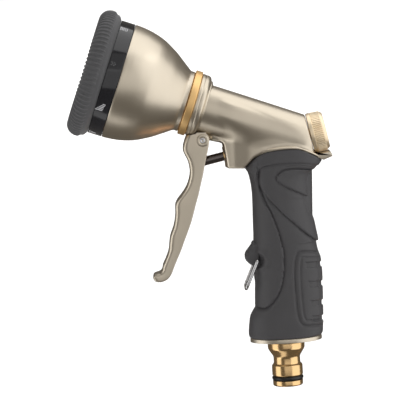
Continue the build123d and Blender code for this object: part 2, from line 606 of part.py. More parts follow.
# ================================================================ wire lock clip
with BuildPart() as lock_clip:
    foot = (CLIP_AT[0] - CLIP_LEG * sin(radians(CLIP_REST)), CLIP_AT[1] - CLIP_LEG * cos(radians(CLIP_REST)))
    with BuildLine() as wire:
        Polyline((CLIP_AT[0], -5.2, CLIP_AT[1]), (CLIP_AT[0], -CLIP_Y, CLIP_AT[1]),
                 (foot[0], -CLIP_Y, foot[1]), (foot[0], CLIP_Y, foot[1]),
                 (CLIP_AT[0], CLIP_Y, CLIP_AT[1]), (CLIP_AT[0], 5.2, CLIP_AT[1]))
        fillet(wire.vertices().sort_by(Axis.Z)[:2], 3.0)
    with BuildSketch(Plane(wire.line @ 0, z_dir=wire.line % 0)):
        Circle(CLIP_WIRE_R)
    sweep(path=wire.line, transition=Transition.RIGHT)
lock_clip.part.label = "lock_clip"

# ================================================================ one STEP file for each node
NODES = (
    hose_plug, plug_oring, inlet_screen, end_ring, grip_sleeve, body_casting, trigger, trigger_pin,
    stem_gland, stem_seal, valve_stem, valve_seat, valve_washer, valve_poppet, valve_nut, valve_spring,
    valve_bonnet, bonnet_oring, flow_sleeve, flow_knob, knob_screw, neck_ring, spray_bell, bell_gasket,
    port_plate, port_seal, detent_spring, detent_ball, dial_screw, dial_collar, dial_face, dial_bumper,
    lock_clip,
)
for node in NODES:
    export_step(node.part, "parts/" + node.part.label + ".step")
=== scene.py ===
"""Looks of the hose spray nozzle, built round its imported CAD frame. Metres; outlines are given in mm."""

import json
from math import cos, degrees, pi, radians, sin, sqrt

import bmesh
import bpy
import numpy as np
from mathutils import Matrix, Vector


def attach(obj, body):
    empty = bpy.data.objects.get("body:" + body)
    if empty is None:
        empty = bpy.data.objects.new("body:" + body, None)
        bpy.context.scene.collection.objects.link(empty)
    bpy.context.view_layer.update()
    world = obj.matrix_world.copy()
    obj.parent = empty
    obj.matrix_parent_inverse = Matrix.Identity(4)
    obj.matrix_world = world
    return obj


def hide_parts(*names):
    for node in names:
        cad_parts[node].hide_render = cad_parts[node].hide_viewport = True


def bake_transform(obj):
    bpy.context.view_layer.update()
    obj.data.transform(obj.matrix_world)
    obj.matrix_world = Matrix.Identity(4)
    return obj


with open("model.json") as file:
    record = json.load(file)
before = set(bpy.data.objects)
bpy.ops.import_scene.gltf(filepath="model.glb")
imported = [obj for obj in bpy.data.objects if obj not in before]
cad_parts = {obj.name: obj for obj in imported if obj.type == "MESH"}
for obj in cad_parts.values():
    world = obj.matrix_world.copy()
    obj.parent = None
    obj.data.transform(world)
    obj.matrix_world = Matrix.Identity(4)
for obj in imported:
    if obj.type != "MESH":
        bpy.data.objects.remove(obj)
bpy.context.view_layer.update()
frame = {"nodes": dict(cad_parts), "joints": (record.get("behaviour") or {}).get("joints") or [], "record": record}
nodes = frame["nodes"]
joints = {j["name"]: j for j in frame["joints"]}
MM = 0.001


# ------------------------------------------------------------------------------------------
# Floor, camera and lights. Pale seamless paper well below the nozzle, a long lens almost level
# with the handle, and soft boxes overhead, at both sides, in front, and low for the underside.
def linear(hex_colour):
    """sRGB hex to a linear RGBA colour."""
    parts = [int(hex_colour[i:i + 2], 16) / 255 for i in (1, 3, 5)]
    return [c / 12.92 if c <= 0.04045 else ((c + 0.055) / 1.055) ** 2.4 for c in parts] + [1.0]


def node(tree, kind, sockets=None, **settings):
    """Add a node, set its properties, and set or link its sockets."""
    made = tree.nodes.new(kind)
    for name, value in settings.items():
        setattr(made, name, value)
    for name, value in (sockets or {}).items():
        if isinstance(value, bpy.types.NodeSocket):
            tree.links.new(value, made.inputs[name])
        else:
            made.inputs[name].default_value = value
    return made


def new_material(name):
    """An empty material, its tree and its object coordinates."""
    made = bpy.data.materials.new(name)
    made.use_nodes = True
    tree = made.node_tree
    tree.nodes.clear()
    return made, tree, node(tree, "ShaderNodeTexCoord").outputs["Object"]


def surface(tree, **sockets):
    """End a material's tree in a Principled shader with these sockets."""
    shader = node(tree, "ShaderNodeBsdfPrincipled", {k.replace("_", " "): v for k, v in sockets.items()})
    node(tree, "ShaderNodeOutputMaterial", {"Surface": shader.outputs[0]})


def two_tones(tree, share, first, second):
    """A colour between two, by a share from 0 to 1."""
    mix = node(tree, "ShaderNodeMix", {0: share, 6: linear(first), 7: linear(second)}, data_type="RGBA")
    return mix.outputs[2]


FLOOR_DROP = 0.12
FLOOR_SIZE = 60.0
# Seamless background paper: matt and almost white, with a very faint unevenness of tone.
pale_floor, tree, place = new_material("pale_seamless_paper")
tone = node(tree, "ShaderNodeTexNoise", {"Vector": place, "Scale": 3.0, "Detail": 2.0}).outputs[0]
mixed = two_tones(tree, tone, "#fbfbfb", "#f6f6f6")
surface(tree, Base_Color=mixed, Roughness=0.9)
bpy.ops.mesh.primitive_plane_add(size=FLOOR_SIZE, location=(0, 0, -FLOOR_DROP))
floor = bpy.context.object
floor.name = "floor"
floor.data.materials.append(pale_floor)

AIM = Vector((-0.0431, 0.0, 0.1055))
CAMERA_RISE = 6.5
CAMERA_ROLL = 3.2
CAMERA_AWAY = 1.7
VIEW_WIDE = 0.22
camera = bpy.data.objects.new("camera", bpy.data.cameras.new("camera"))
bpy.context.collection.objects.link(camera)
rise = radians(CAMERA_RISE)
camera.location = AIM + CAMERA_AWAY * Vector((0, -cos(rise), sin(rise)))
camera.rotation_euler = (Matrix.Rotation(radians(90) - rise, 3, "X")
                         @ Matrix.Rotation(radians(-CAMERA_ROLL), 3, "Z")).to_euler()
camera.data.sensor_width = 36.0
camera.data.lens = 36.0 * CAMERA_AWAY / VIEW_WIDE
bpy.context.scene.camera = camera


def soft_box(name, at, size, glow, aim=AIM, colour="#ffffff"):
    """A rectangular area light at a place, facing the nozzle; glow is its brightness."""
    lamp = bpy.data.lights.new(name, "AREA")
    lamp.color = linear(colour)[:3]
    lamp.shape = "RECTANGLE"
    lamp.size, lamp.size_y = size
    lamp.energy = glow * pi * size[0] * size[1]
    made = bpy.data.objects.new(name, lamp)
    made.location = at
    made.rotation_euler = (Vector(at) - Vector(aim)).to_track_quat("Z", "Y").to_euler()
    bpy.context.collection.objects.link(made)
    return made


# The nozzle stands in a dark tent of soft boxes; the paper and its own wash are kept out of
# the reflections, as they are when a product is hung clear of its background.
soft_box("overhead", (0.35, 0.20, 1.45), (2.2, 1.9), 1.25, (0.35, 0.19, 0.0))
soft_box("right_wall", (1.50, -0.60, 0.40), (2.3, 3.0), 1.15, (0.0, 0.0, 0.40))
soft_box("left_wall", (-1.5, -0.40, 0.0), (1.2, 2.2), 1.2, (0.0, 0.0, 0.0))
soft_box("front", (0.2, -3.2, 0.35), (3.2, 2.1), 0.60)
soft_box("upper_front", (0.3, -1.9, 1.55), (2.4, 1.5), 0.36)
soft_box("under_left", (-0.66, -0.35, -0.90), (0.35, 1.5), 0.85, (-0.08, -0.2, 0.17))
soft_box("warm_bounce", (0.36, 0.62, -0.80), (0.5, 0.3), 1.1, (-0.03, 0.0, 0.15), "#ffc08a")
backdrop = soft_box("backdrop_wash", (0.0, 4.6, 2.9), (9.0, 6.4), 2.3, (0.0, 4.59, 0.0))
backdrop.visible_glossy = False
floor.visible_glossy = False
floor.visible_shadow = False
world = bpy.data.worlds.new("studio")
world.use_nodes = True
world.node_tree.nodes["Background"].inputs[0].default_value = linear("#b8b2aa")
world.node_tree.nodes["Background"].inputs[1].default_value = 0.27
bpy.context.scene.world = world
bpy.context.scene.view_settings.view_transform = "Standard"


# ------------------------------------------------------------------------------------------
# Spray bell: a thin-walled zinc die casting, tumbled, then plated in champagne satin nickel.
# It flares from a short neck to the rim, where a narrow turned edge catches the light.
class Axes:
    """A turning axis. A place on it is a radius, an angle and a distance along, in mm and
    degrees; angle 0 is up and 90 faces the near side."""

    def __init__(self, joint):
        self.origin = Vector(joint["pos_m"]) / MM
        self.along = Vector(joint["axis"]).normalized()
        self.near = Vector((0, -1, 0))
        self.up = self.near.cross(self.along) if self.along.x > 0 else self.along.cross(self.near)

    def at(self, radius, angle, along):
        out = self.up * cos(radians(angle)) + self.near * sin(radians(angle))
        return (self.origin + self.along * along + out * radius) * MM


head = Axes(joints["dial_turn"])
valve = Axes(joints["knob_turn"])


def eased(outline, radius, steps=4):
    """A closed outline with its corners rounded; a corner may give its own radius third."""
    made, count = [], len(outline)
    for i, corner in enumerate(outline):
        here = Vector(corner[:2])
        before, after = (Vector(outline[j % count][:2]) for j in (i - 1, i + 1))
        r = corner[2] if len(corner) > 2 else radius
        if not r:
            made.append(here)
            continue
        start = here + (before - here) * min(0.48, r / max((before - here).length, 1e-6))
        end = here + (after - here) * min(0.48, r / max((after - here).length, 1e-6))
        for k in range(steps + 1):
            t = k / steps
            made.append(start * (1 - t) ** 2 + here * 2 * t * (1 - t) + end * t * t)
    return made


def curve_through(points, per=6):
    """Points on a smooth curve through these points."""
    pts = [Vector(p) for p in points]
    pts = [2 * pts[0] - pts[1]] + pts + [2 * pts[-1] - pts[-2]]
    made = []
    for a, b, c, d in zip(pts, pts[1:], pts[2:], pts[3:]):
        for k in range(per):
            t = k / per
            made.append(0.5 * (2 * b + (c - a) * t + (2 * a - 5 * b + 4 * c - d) * t * t
                               + (3 * b - a - 3 * c + d) * t ** 3))
    return made + [pts[-2]]


def finished(name, bm, material, sharp=35):
    """A mesh object from bmesh data, closed, facing out and smooth except at sharp edges."""
    bmesh.ops.remove_doubles(bm, verts=bm.verts, dist=1e-7)
    bmesh.ops.dissolve_degenerate(bm, edges=bm.edges, dist=1e-8)
    bmesh.ops.recalc_face_normals(bm, faces=bm.faces)
    mesh = bpy.data.meshes.new(name)
    bm.to_mesh(mesh)
    bm.free()
    mesh.shade_smooth()
    mesh.set_sharp_from_angle(angle=radians(sharp))
    mesh.materials.append(material)
    made = bpy.data.objects.new(name, mesh)
    bpy.context.collection.objects.link(made)
    return made


def stitched(bm, rows, closed=False, capped=False):
    """Fill between rings of points; the last may meet the first, or both ends be capped."""
    for a, b in zip(rows, rows[1:] + rows[:1] if closed else rows[1:]):
        for i in range(len(a)):
            j = (i + 1) % len(a)
            bm.faces.new((a[i], a[j], b[j], b[i]))
    if capped:
        bm.faces.new(rows[0])
        bm.faces.new(rows[-1][::-1])


def turned(bm, axes, outline, around=144):
    """Add a closed outline of (radius, along) turned about an axis."""
    loops = []
    for k in range(around):
        angle = 360.0 * k / around
        loops.append([bm.verts.new(axes.at(max(p[0], 0.0), angle, p[1])) for p in outline])
    stitched(bm, loops, closed=True)
    return bm


def lathe(name, axes, outline, material, around=144, sharp=35):
    """An object turned from one closed outline."""
    return finished(name, turned(bmesh.new(), axes, outline, around), material, sharp)


def keep(piece, body, slot, *replaced):
    """Hang a piece on the empty of the body it rides on and hide the frame nodes it stands for; the slot is not
    used.
    """
    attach(piece, body)
    if replaced:
        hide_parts(*replaced)
    return piece


def noise(tree, place, size, detail):
    """A cloudy pattern with grains about this many mm across."""
    settings = {"Vector": place, "Scale": 1 / (size * MM), "Detail": detail}
    return node(tree, "ShaderNodeTexNoise", settings).outputs[0]


def ranging(tree, share, low, high):
    """A number between two, by a share from 0 to 1."""
    return node(tree, "ShaderNodeMapRange", {0: share, 3: low, 4: high}).outputs[0]


def bumped(tree, height, strength, deep):
    """A slight unevenness of the surface, this many mm deep."""
    settings = {"Strength": strength, "Distance": deep * MM, "Height": height}
    return node(tree, "ShaderNodeBump", settings).outputs[0]


# Satin nickel: base reflectance of warm nickel plate. Tumbling leaves an even soft sheen with
# grains near 0.05 mm; the grain here is 0.7 mm, the finest that still shows.
satin_nickel, tree, place = new_material("champagne_satin_nickel_on_zinc")
grain = noise(tree, place, 0.7, 2.0)
cloud = noise(tree, place, 25, 3.0)
tint = two_tones(tree, cloud, "#dbd1c0", "#d3c8b5")
rough = ranging(tree, grain, 0.32, 0.38)
bump = bumped(tree, grain, 0.05, 0.02)
surface(tree, Base_Color=tint, Metallic=1.0, Roughness=rough, Normal=bump)

BELL_R = 32.0
BELL_END = 41.1
BELL_FLARE = ((16.9, 4.3), (17.25, 5.1), (18.1, 6.3), (19.9, 8.8), (21.6, 11.2), (24.0, 14.6), (26.3, 18.6),
              (28.0, 21.8), (29.4, 25.2), (30.9, 30.6), (31.7, 35.6), (31.98, 39.4))
bell_inside = [(BELL_R - 2.5, BELL_END), (BELL_R - 2.5, 33.3), (26.5, 33.3), (24.5, 24.0), (19.0, 14.0),
               (12.0, 10.0), (12.0, 1.97)]
bell_outside = [(16.3, 1.97), (16.9, 2.5)] + [tuple(p) for p in curve_through(BELL_FLARE)]
bell_lip = [(BELL_R, 40.5), (BELL_R - 0.15, 40.9), (BELL_R - 0.6, BELL_END)]
bell = lathe("bell_shell", head, bell_outside + bell_lip + bell_inside, satin_nickel, 192)
keep(bell, "body", "satin_zinc", "spray_bell")


# ------------------------------------------------------------------------------------------
# Neck ring: a turned brass ring between the casting and the bell, with slightly broken edges, in satin
# brass. The polished brass below is for the hose plug, and the knob has a pale brass of its own.
# Polished brass: turned bright and polished, so it mirrors softly with a slight haze.
brass, tree, place = new_material("polished_brass")
haze = noise(tree, place, 12, 4.0)
gold = two_tones(tree, haze, "#f2cd98", "#e8c088")
rough = ranging(tree, haze, 0.18, 0.25)
surface(tree, Base_Color=gold, Metallic=1.0, Roughness=rough)

# Satin brass: brushed round the axis after turning, which spreads the light to a warm sheen.
satin_brass, tree, place = new_material("satin_brass")
haze = noise(tree, place, 8, 4.0)
gold = two_tones(tree, haze, "#ffd99c", "#f6c988")
rough = ranging(tree, haze, 0.42, 0.5)
surface(tree, Base_Color=gold, Metallic=1.0, Roughness=rough)

neck_outline = eased([(11.96, -1.98), (18.2, -1.98), (18.2, 1.9), (11.96, 1.9)], 0.45)
neck_ring = lathe("neck_band", head, neck_outline, satin_brass)
keep(neck_ring, "body", "brass", "neck_ring")


# ------------------------------------------------------------------------------------------
# Dial collar: glossy black moulded ABS that turns on the bell, with a front lip under the
# bumper. Spray symbols are pad-printed round it in pale grey ink, one for each pattern.
# Gloss black ABS: straight from a polished mould, with a sharp clear reflection over black.
gloss_black, tree, place = new_material("gloss_black_abs")
orange_peel = noise(tree, place, 2.5, 1.0)
bump = bumped(tree, orange_peel, 0.04, 0.02)
surface(tree, Base_Color=linear("#17171b"), Roughness=0.14, Normal=bump, Coat_Weight=0.4,
        Coat_Roughness=0.06)

DIAL_END = 49.0
COLLAR = [(25.6, 40.1, 0), (29.2, 40.1, 0), (29.2, 41.2, 0), (BELL_R, 41.2, 0.3), (BELL_R, DIAL_END, 0.3),
          (28.5, DIAL_END, 0), (28.5, 57.0, 0), (25.6, 57.0, 0)]
collar = lathe("collar_band", head, eased(COLLAR, 0.4), gloss_black)
keep(collar, "dial", "black_plastic", "dial_collar")

# Pad-printing ink: thin, pale and matt, slightly uneven in cover over the gloss plastic.
ink, tree, place = new_material("pale_grey_printing_ink")
speck = noise(tree, place, 0.4, 1.0)
shade = two_tones(tree, speck, "#f4f4f6", "#b4b4ba")
surface(tree, Base_Color=shade, Roughness=0.45)

# Each symbol is a list of strokes (along, across, along, across, width), in mm about its centre.
FAN = [(-1.9, a * 0.35, -1.9 + 0.75 * (n + 2), a, 0.32) for n, a in enumerate((-1.5, -0.8, 0.0, 0.8, 1.5))]
JET = [(-2.0, 0.0, 2.0, 0.0, 0.4)]
CONE = [(-2.0, 0.0, 1.8, 1.5, 0.3), (-2.0, 0.0, 1.8, -1.5, 0.3), (1.8, -1.5, 1.8, 1.5, 0.3)]
SHOWER = [(x, y, x + 0.55, y, 0.4) for x in (-2.0, -1.1, -0.2, 0.7, 1.6) for y in (-1.3, -0.45, 0.4, 1.25)]
DROPS = ((-1.2, 0), (-0.5, 0.8), (-0.5, -0.8), (0.3, 0), (0.9, 0.8), (0.9, -0.8))
MIST = [(x, y, x + 0.22, y, 0.22) for x, y in DROPS]
STACK = [(0.23 * n - 2.5, 0.98 * n - 1.96, 0.84 * n - 0.9, 0.98 * n - 1.96, 0.34) for n in range(5)]
FLAT = [(-2.0, -1.4, -2.0, 1.4, 0.35), (-1.4, 0.0, 1.8, 0.0, 0.3), (-1.4, 0.6, 1.8, 1.3, 0.3),
        (-1.4, -0.6, 1.8, -1.3, 0.3)]
corners = [(1.3 * cos(k * pi / 5), 1.3 * sin(k * pi / 5)) for k in range(11)]
RING = [(*a, *b, 0.32) for a, b in zip(corners, corners[1:])]
FIRST_SYMBOL, SYMBOL_STEP, SYMBOL_AT = 26.5, 45.0, 46.4
bm = bmesh.new()
for number, strokes in enumerate((SHOWER, MIST, STACK, CONE, JET, FLAT, RING, FAN)):
    middle = FIRST_SYMBOL + SYMBOL_STEP * number
    for x0, y0, x1, y1, wide in strokes:
        way = Vector((x1 - x0, y1 - y0)).normalized() * wide / 2
        side = Vector((-way.y, way.x))
        first, last = Vector((x0, y0)), Vector((x1, y1))
        ends = [first - side, last - side, last + side, first + side]
        top, low = ([bm.verts.new(head.at(BELL_R + r, middle + degrees(p.y / BELL_R), SYMBOL_AT + p.x))
                     for p in ends]
                    for r in (0.05, -0.05))
        bm.faces.new(top)
        bm.faces.new(low[::-1])
        for i in range(4):
            j = (i + 1) % 4
            bm.faces.new((top[i], low[i], low[j], top[j]))
symbols = finished("dial_symbols", bm, ink)
keep(symbols, "dial", "black_plastic")


# ------------------------------------------------------------------------------------------
# Bumper: a thick ring of moulded dark grey rubber snapped over the front lip of the dial. Low
# ribs run across its crown all the way round, to grip while turning the dial.
def ring_of_copies():
    """Geometry Nodes: Count copies of the piece's own mesh turned about Axis through Centre."""
    group = bpy.data.node_groups.new("copies_round_an_axis", "GeometryNodeTree")
    for way, kind, label in (("INPUT", "NodeSocketGeometry", "Piece"), ("INPUT", "NodeSocketInt", "Count"),
                             ("INPUT", "NodeSocketVector", "Axis"), ("INPUT", "NodeSocketVector", "Centre"),
                             ("INPUT", "NodeSocketMaterial", "Finish"),
                             ("OUTPUT", "NodeSocketGeometry", "Ring")):
        group.interface.new_socket(label, in_out=way, socket_type=kind)
    given = node(group, "NodeGroupInput").outputs
    back = node(group, "ShaderNodeVectorMath", {0: given["Centre"], "Scale": -1.0}, operation="SCALE")
    centred = node(group, "GeometryNodeTransform", {0: given["Piece"], "Translation": back.outputs[0]})
    spots = node(group, "GeometryNodePoints", {"Count": given["Count"], "Position": given["Centre"]})
    step = node(group, "ShaderNodeMath", {0: 2 * pi, 1: given["Count"]}, operation="DIVIDE")
    index = node(group, "GeometryNodeInputIndex")
    angle = node(group, "ShaderNodeMath", {0: index.outputs[0], 1: step.outputs[0]}, operation="MULTIPLY")
    turn = node(group, "FunctionNodeAxisAngleToRotation", {"Axis": given["Axis"],
                                                           "Angle": angle.outputs[0]})
    copies = node(group, "GeometryNodeInstanceOnPoints", {"Points": spots.outputs[0],
                                                          "Instance": centred.outputs[0],
                                                          "Rotation": turn.outputs[0]})
    real = node(group, "GeometryNodeRealizeInstances", {0: copies.outputs[0]})
    coated = node(group, "GeometryNodeSetMaterial", {"Geometry": real.outputs[0],
                                                     "Material": given["Finish"]})
    node(group, "NodeGroupOutput", {0: coated.outputs[0]})
    return group


copies_round = ring_of_copies()


def applied(piece):
    """Turn a piece and its modifiers into a plain mesh."""
    whole = bpy.data.meshes.new_from_object(piece.evaluated_get(bpy.context.evaluated_depsgraph_get()))
    piece.modifiers.clear()
    piece.data = whole
    return piece


def ringed(piece, axes, count):
    """Turn one copy of a piece into a full ring of them, as a plain mesh."""
    modifier = piece.modifiers.new("ring", "NODES")
    modifier.node_group = copies_round
    values = {"Count": count, "Axis": tuple(axes.along), "Centre": tuple(axes.origin * MM),
              "Finish": piece.data.materials[0]}
    for item in copies_round.interface.items_tree:
        if item.in_out == "INPUT" and item.name in values:
            modifier[item.identifier] = values[item.name]
    return applied(piece)


def joined(main, *others):
    """One mesh object from several."""
    bm = bmesh.new()
    for piece in (main, *others):
        bm.from_mesh(piece.data)
    bm.to_mesh(main.data)
    bm.free()
    for piece in others:
        bpy.data.objects.remove(piece)
    return main


# Moulded rubber: dark grey thermoplastic rubber from a spark-eroded mould, matt and dusty.
bumper_rubber, tree, place = new_material("moulded_grey_rubber")
pores = noise(tree, place, 0.6, 3.0)
dust = noise(tree, place, 14, 3.0)
grey = two_tones(tree, dust, "#444446", "#4c4c4e")
bump = bumped(tree, pores, 0.12, 0.05)
surface(tree, Base_Color=grey, Roughness=0.62, Normal=bump, Sheen_Weight=0.15, Sheen_Roughness=0.4)

# the rubber tube's radius, how far out and along its middle lies, and how deep the rib band sinks
TUBE_R, TUBE_AT, TUBE_ALONG, BAND_SUNK = 6.3, 29.4, 55.0, 0.5
tube_arc = []
for a in np.linspace(radians(-71.5), radians(196), 56):
    fade_in = np.clip((degrees(a) + 42) / 14, 0, 1)
    fade_out = np.clip((172 - degrees(a)) / 14, 0, 1)
    r = TUBE_R - BAND_SUNK * fade_in * fade_out - 0.02
    tube_arc.append((TUBE_AT + r * cos(a), TUBE_ALONG + r * sin(a)))
bumper = lathe("bumper_ring", head, tube_arc + [(28.55, 57.05), (28.55, 49.05)], bumper_rubber, 192, 60)
RIBS, RIB_TALL, RIB_WIDE, RIB_ROWS, RIB_COLUMNS = 84, 0.62, 1.7, 22, 7
bm = bmesh.new()
rows = []
for n, a in enumerate(np.linspace(radians(-32), radians(160), RIB_ROWS)):
    fade = min(1.0, sin(pi * n / (RIB_ROWS - 1)) * 3.5)
    row = []
    for m in range(RIB_COLUMNS):
        spot = m / (RIB_COLUMNS - 1) - 0.5
        across = spot * RIB_WIDE * (0.6 + 0.4 * fade)
        tall = RIB_TALL * fade * cos(pi * spot) - 0.12
        r = TUBE_R - BAND_SUNK + tall
        radius = TUBE_AT + r * cos(a)
        row.append(bm.verts.new(head.at(radius, degrees(across / radius), TUBE_ALONG + r * sin(a))))
    rows.append(row)
stitched(bm, rows, capped=True)
ribs = ringed(finished("bumper_ribs", bm, bumper_rubber, 80), head, RIBS)
keep(joined(bumper, ribs), "dial", "bumper_rubber", "dial_bumper")


# ------------------------------------------------------------------------------------------
# Rear flow knob: turned brass, straight-knurled between a plain front band and a chamfered
# rear rim, held on its spindle by a small steel screw.
# Pale satin brass: a finely roughened turning, which looks paler and duller than the ring.
pale_brass, tree, place = new_material("pale_blasted_brass")
haze = noise(tree, place, 6, 3.0)
gold = two_tones(tree, haze, "#fff0d4", "#fbe4c0")
rough = ranging(tree, haze, 0.4, 0.48)
surface(tree, Base_Color=gold, Metallic=1.0, Roughness=rough)

KNOB_FRONT, KNOB_REAR, KNOB_WIDE = 48.4, 57.3, 11.25
KNOB = [(3.03, KNOB_FRONT, 0), (KNOB_WIDE - 0.1, KNOB_FRONT), (KNOB_WIDE, KNOB_FRONT + 2.0, 0.2),
        (KNOB_WIDE - 0.35, KNOB_FRONT + 2.1, 0), (KNOB_WIDE - 0.65, KNOB_REAR - 1.5, 0),
        (KNOB_WIDE - 1.7, KNOB_REAR, 0.3), (4.2, KNOB_REAR, 0.2), (4.2, KNOB_REAR - 2.3, 0),
        (3.03, KNOB_REAR - 2.3, 0)]
knob = lathe("knob_turning", valve, eased(KNOB, 0.35, 5), pale_brass)
KNURLS, KNURL_TALL = 60, 0.32
KNURL_START, KNURL_END = KNOB_FRONT + 2.15, KNOB_REAR - 1.5
bm = bmesh.new()
rows = []
half = 180 / KNURLS * 0.92
for along, base in ((KNURL_START, KNOB_WIDE - 0.4), (KNOB_FRONT + 2.5, KNOB_WIDE - 0.4),
                    (KNOB_REAR - 1.9, KNOB_WIDE - 0.65), (KNURL_END, KNOB_WIDE - 0.7)):
    tall = 0.0 if along in (KNURL_START, KNURL_END) else KNURL_TALL
    rows.append([bm.verts.new(valve.at(base + r, a, along))
                 for r, a in ((-0.15, -half), (tall, -half * 0.25), (tall, half * 0.25), (-0.15, half))])
stitched(bm, rows, capped=True)
knurls = ringed(finished("knob_knurls", bm, pale_brass, 20), valve, KNURLS)
keep(joined(knob, knurls), "flow_knob", "brass", "flow_knob")


# ------------------------------------------------------------------------------------------
# Hose plug: the standard male quick-connector end, turned from brass bar and polished, with a
# black nitrile O-ring in its groove.
plug_axes = Axes({"pos_m": (0, 0, 0), "axis": (0, 0, 1)})
plug_axes.up = Vector((1, 0, 0))
PLUG = [(5.0, 0, 0.4), (7.9, 0, 0.6), (8.3, 0.7, 0.3), (8.3, 3.05, 0.15), (6.25, 3.05, 0), (6.25, 5.65, 0),
        (8.15, 5.65, 0.15), (8.5, 6.1, 0.3), (8.5, 11.4, 0.5), (7.35, 12.6, 0.5), (7.35, 16.4, 1.0),
        (9.5, 19.7, 0.8), (10.2, 20.9, 0.9), (10.2, 24.3, 0.9), (9.6, 25.15, 0.2), (8.5, 25.15, 0),
        (8.5, 40.0, 0), (5.0, 40.0, 0)]
plug = lathe("plug_turning", plug_axes, eased(PLUG, 0.3, 5), brass, 128)
keep(plug, "body", "brass", "hose_plug")

# Nitrile rubber: a moulded O-ring, black, slightly shiny from its grease.
nitrile, tree, place = new_material("black_nitrile_rubber")
film = noise(tree, place, 3, 2.0)
rough = ranging(tree, film, 0.28, 0.4)
surface(tree, Base_Color=linear("#141312"), Roughness=rough)
SEAL_R, SEAL_THICK, SEAL_AT = 7.5, 1.2, 4.35
ring_turn = np.linspace(0, 2 * pi, 20, endpoint=False)
ring_section = [(SEAL_R + SEAL_THICK * cos(a), SEAL_AT + SEAL_THICK * sin(a)) for a in ring_turn]
keep(lathe("plug_seal", plug_axes, ring_section, nitrile, 96, 80), "body", "seal_rubber", "plug_oring")


# ------------------------------------------------------------------------------------------
# Body casting: one zinc die casting, plated like the bell. The tapered barrel runs back over a
# bow-shaped valve housing whose sides flare to a thin arched rim on the grip; a bridge under the
# barrel carries the trigger pin and a tongue reaches back under the knob.
def outline_distance(outline, x, z):
    """Distance to a closed side-view outline, negative inside it."""
    nearest, inside = np.full(x.shape, 1e9), np.zeros(x.shape, bool)
    for (ax, az), (bx, bz) in zip(outline, outline[1:] + outline[:1]):
        ex, ez = bx - ax, bz - az
        t = np.clip(((x - ax) * ex + (z - az) * ez) / (ex * ex + ez * ez), 0, 1)
        nearest = np.minimum(nearest, np.hypot(x - ax - t * ex, z - az - t * ez))
        inside ^= ((az > z) != (bz > z)) & (x < ex * (z - az) / (ez or 1e-9) + ax)
    return np.where(inside, -nearest, nearest)


def united(a, b, soft):
    """Union of two distances with a fillet."""
    h = np.clip(0.5 + 0.5 * (b - a) / soft, 0, 1)
    return b * (1 - h) + a * h - soft * h * (1 - h)


def shared(a, b, soft):
    """Intersection of two distances with a rounded edge."""
    return -united(-a, -b, soft)


def sampled(points, per=10):
    """Columns of a smooth curve through points, for interpolation."""
    return np.array([tuple(p) for p in curve_through(points, per)]).T


PIVOT = (joints["trigger_squeeze"]["pos_m"][0] / MM, joints["trigger_squeeze"]["pos_m"][2] / MM)
ARCH = ((-17.6, 122.2), (-12.6, 127.3), (-7.1, 130.4), (-0.3, 131.7), (6.4, 132.0), (13.0, 131.3),
        (19.5, 128.2), (25.6, 124.4))
arch_x, arch_z = sampled(ARCH)
bow_x, bow_y = sampled(((-36, 7.0), (-29, 7.6), (-25.5, 8.4), (-21, 10.0), (-14, 12.0), (-5, 12.7),
                        (8, 12.8), (26, 12.3)))
soft_x, soft_by = sampled(((-40, 0.3), (-34, 0.9), (-29, 2.2), (-24, 3.0), (-18, 2.8), (-10, 1.7),
                           (-3, 0.8), (4, 0.5)))
BAND = [(x, z + 0.1) for x, z in ARCH] + [(x, z + 1.4) for x, z in reversed(ARCH)]
HOUSING = [(-34.9, 162.0), (-34.9, 139.6), (-34.2, 139.0), (-30.0, 137.6), (-28.6, 136.3), (-28.0, 131.3),
           (-27.2, 123.4), (-26.4, 122.7), (-18.1, 122.5)] + [(x, z + 0.8)
                                                              for x, z in ARCH[1:]] + [(30, 126),
                                                                                       (30, 137.5)]
BRIDGE = [(-43.0, 146), (-43.0, 138.9), (-39.9, 135.6), (-36.0, 138.4), (-29.2, 136.9), (-28.8, 131.3),
          (-28.1, 123.6), (-26, 123.6), (-26, 146)]
RIM_MIDDLE, RIM_HALF = 3.5, (22.1, 14.2)
BARREL_R, BARREL_TAPER, BARREL_START, BARREL_LONG = 14.5, 1.4, 8.6, 52.4
MOUTH_R, MOUTH_SLOPE, MOUTH_AT = 11.9, 0.62, 48.0
FAN_START = 7.9
fan_from = np.array([head.origin.x, head.origin.z]) - FAN_START * np.array([head.along.x, head.along.z])
fan_to = np.array([valve.origin.x, valve.origin.z]) + MOUTH_AT * np.array([valve.along.x, valve.along.z])


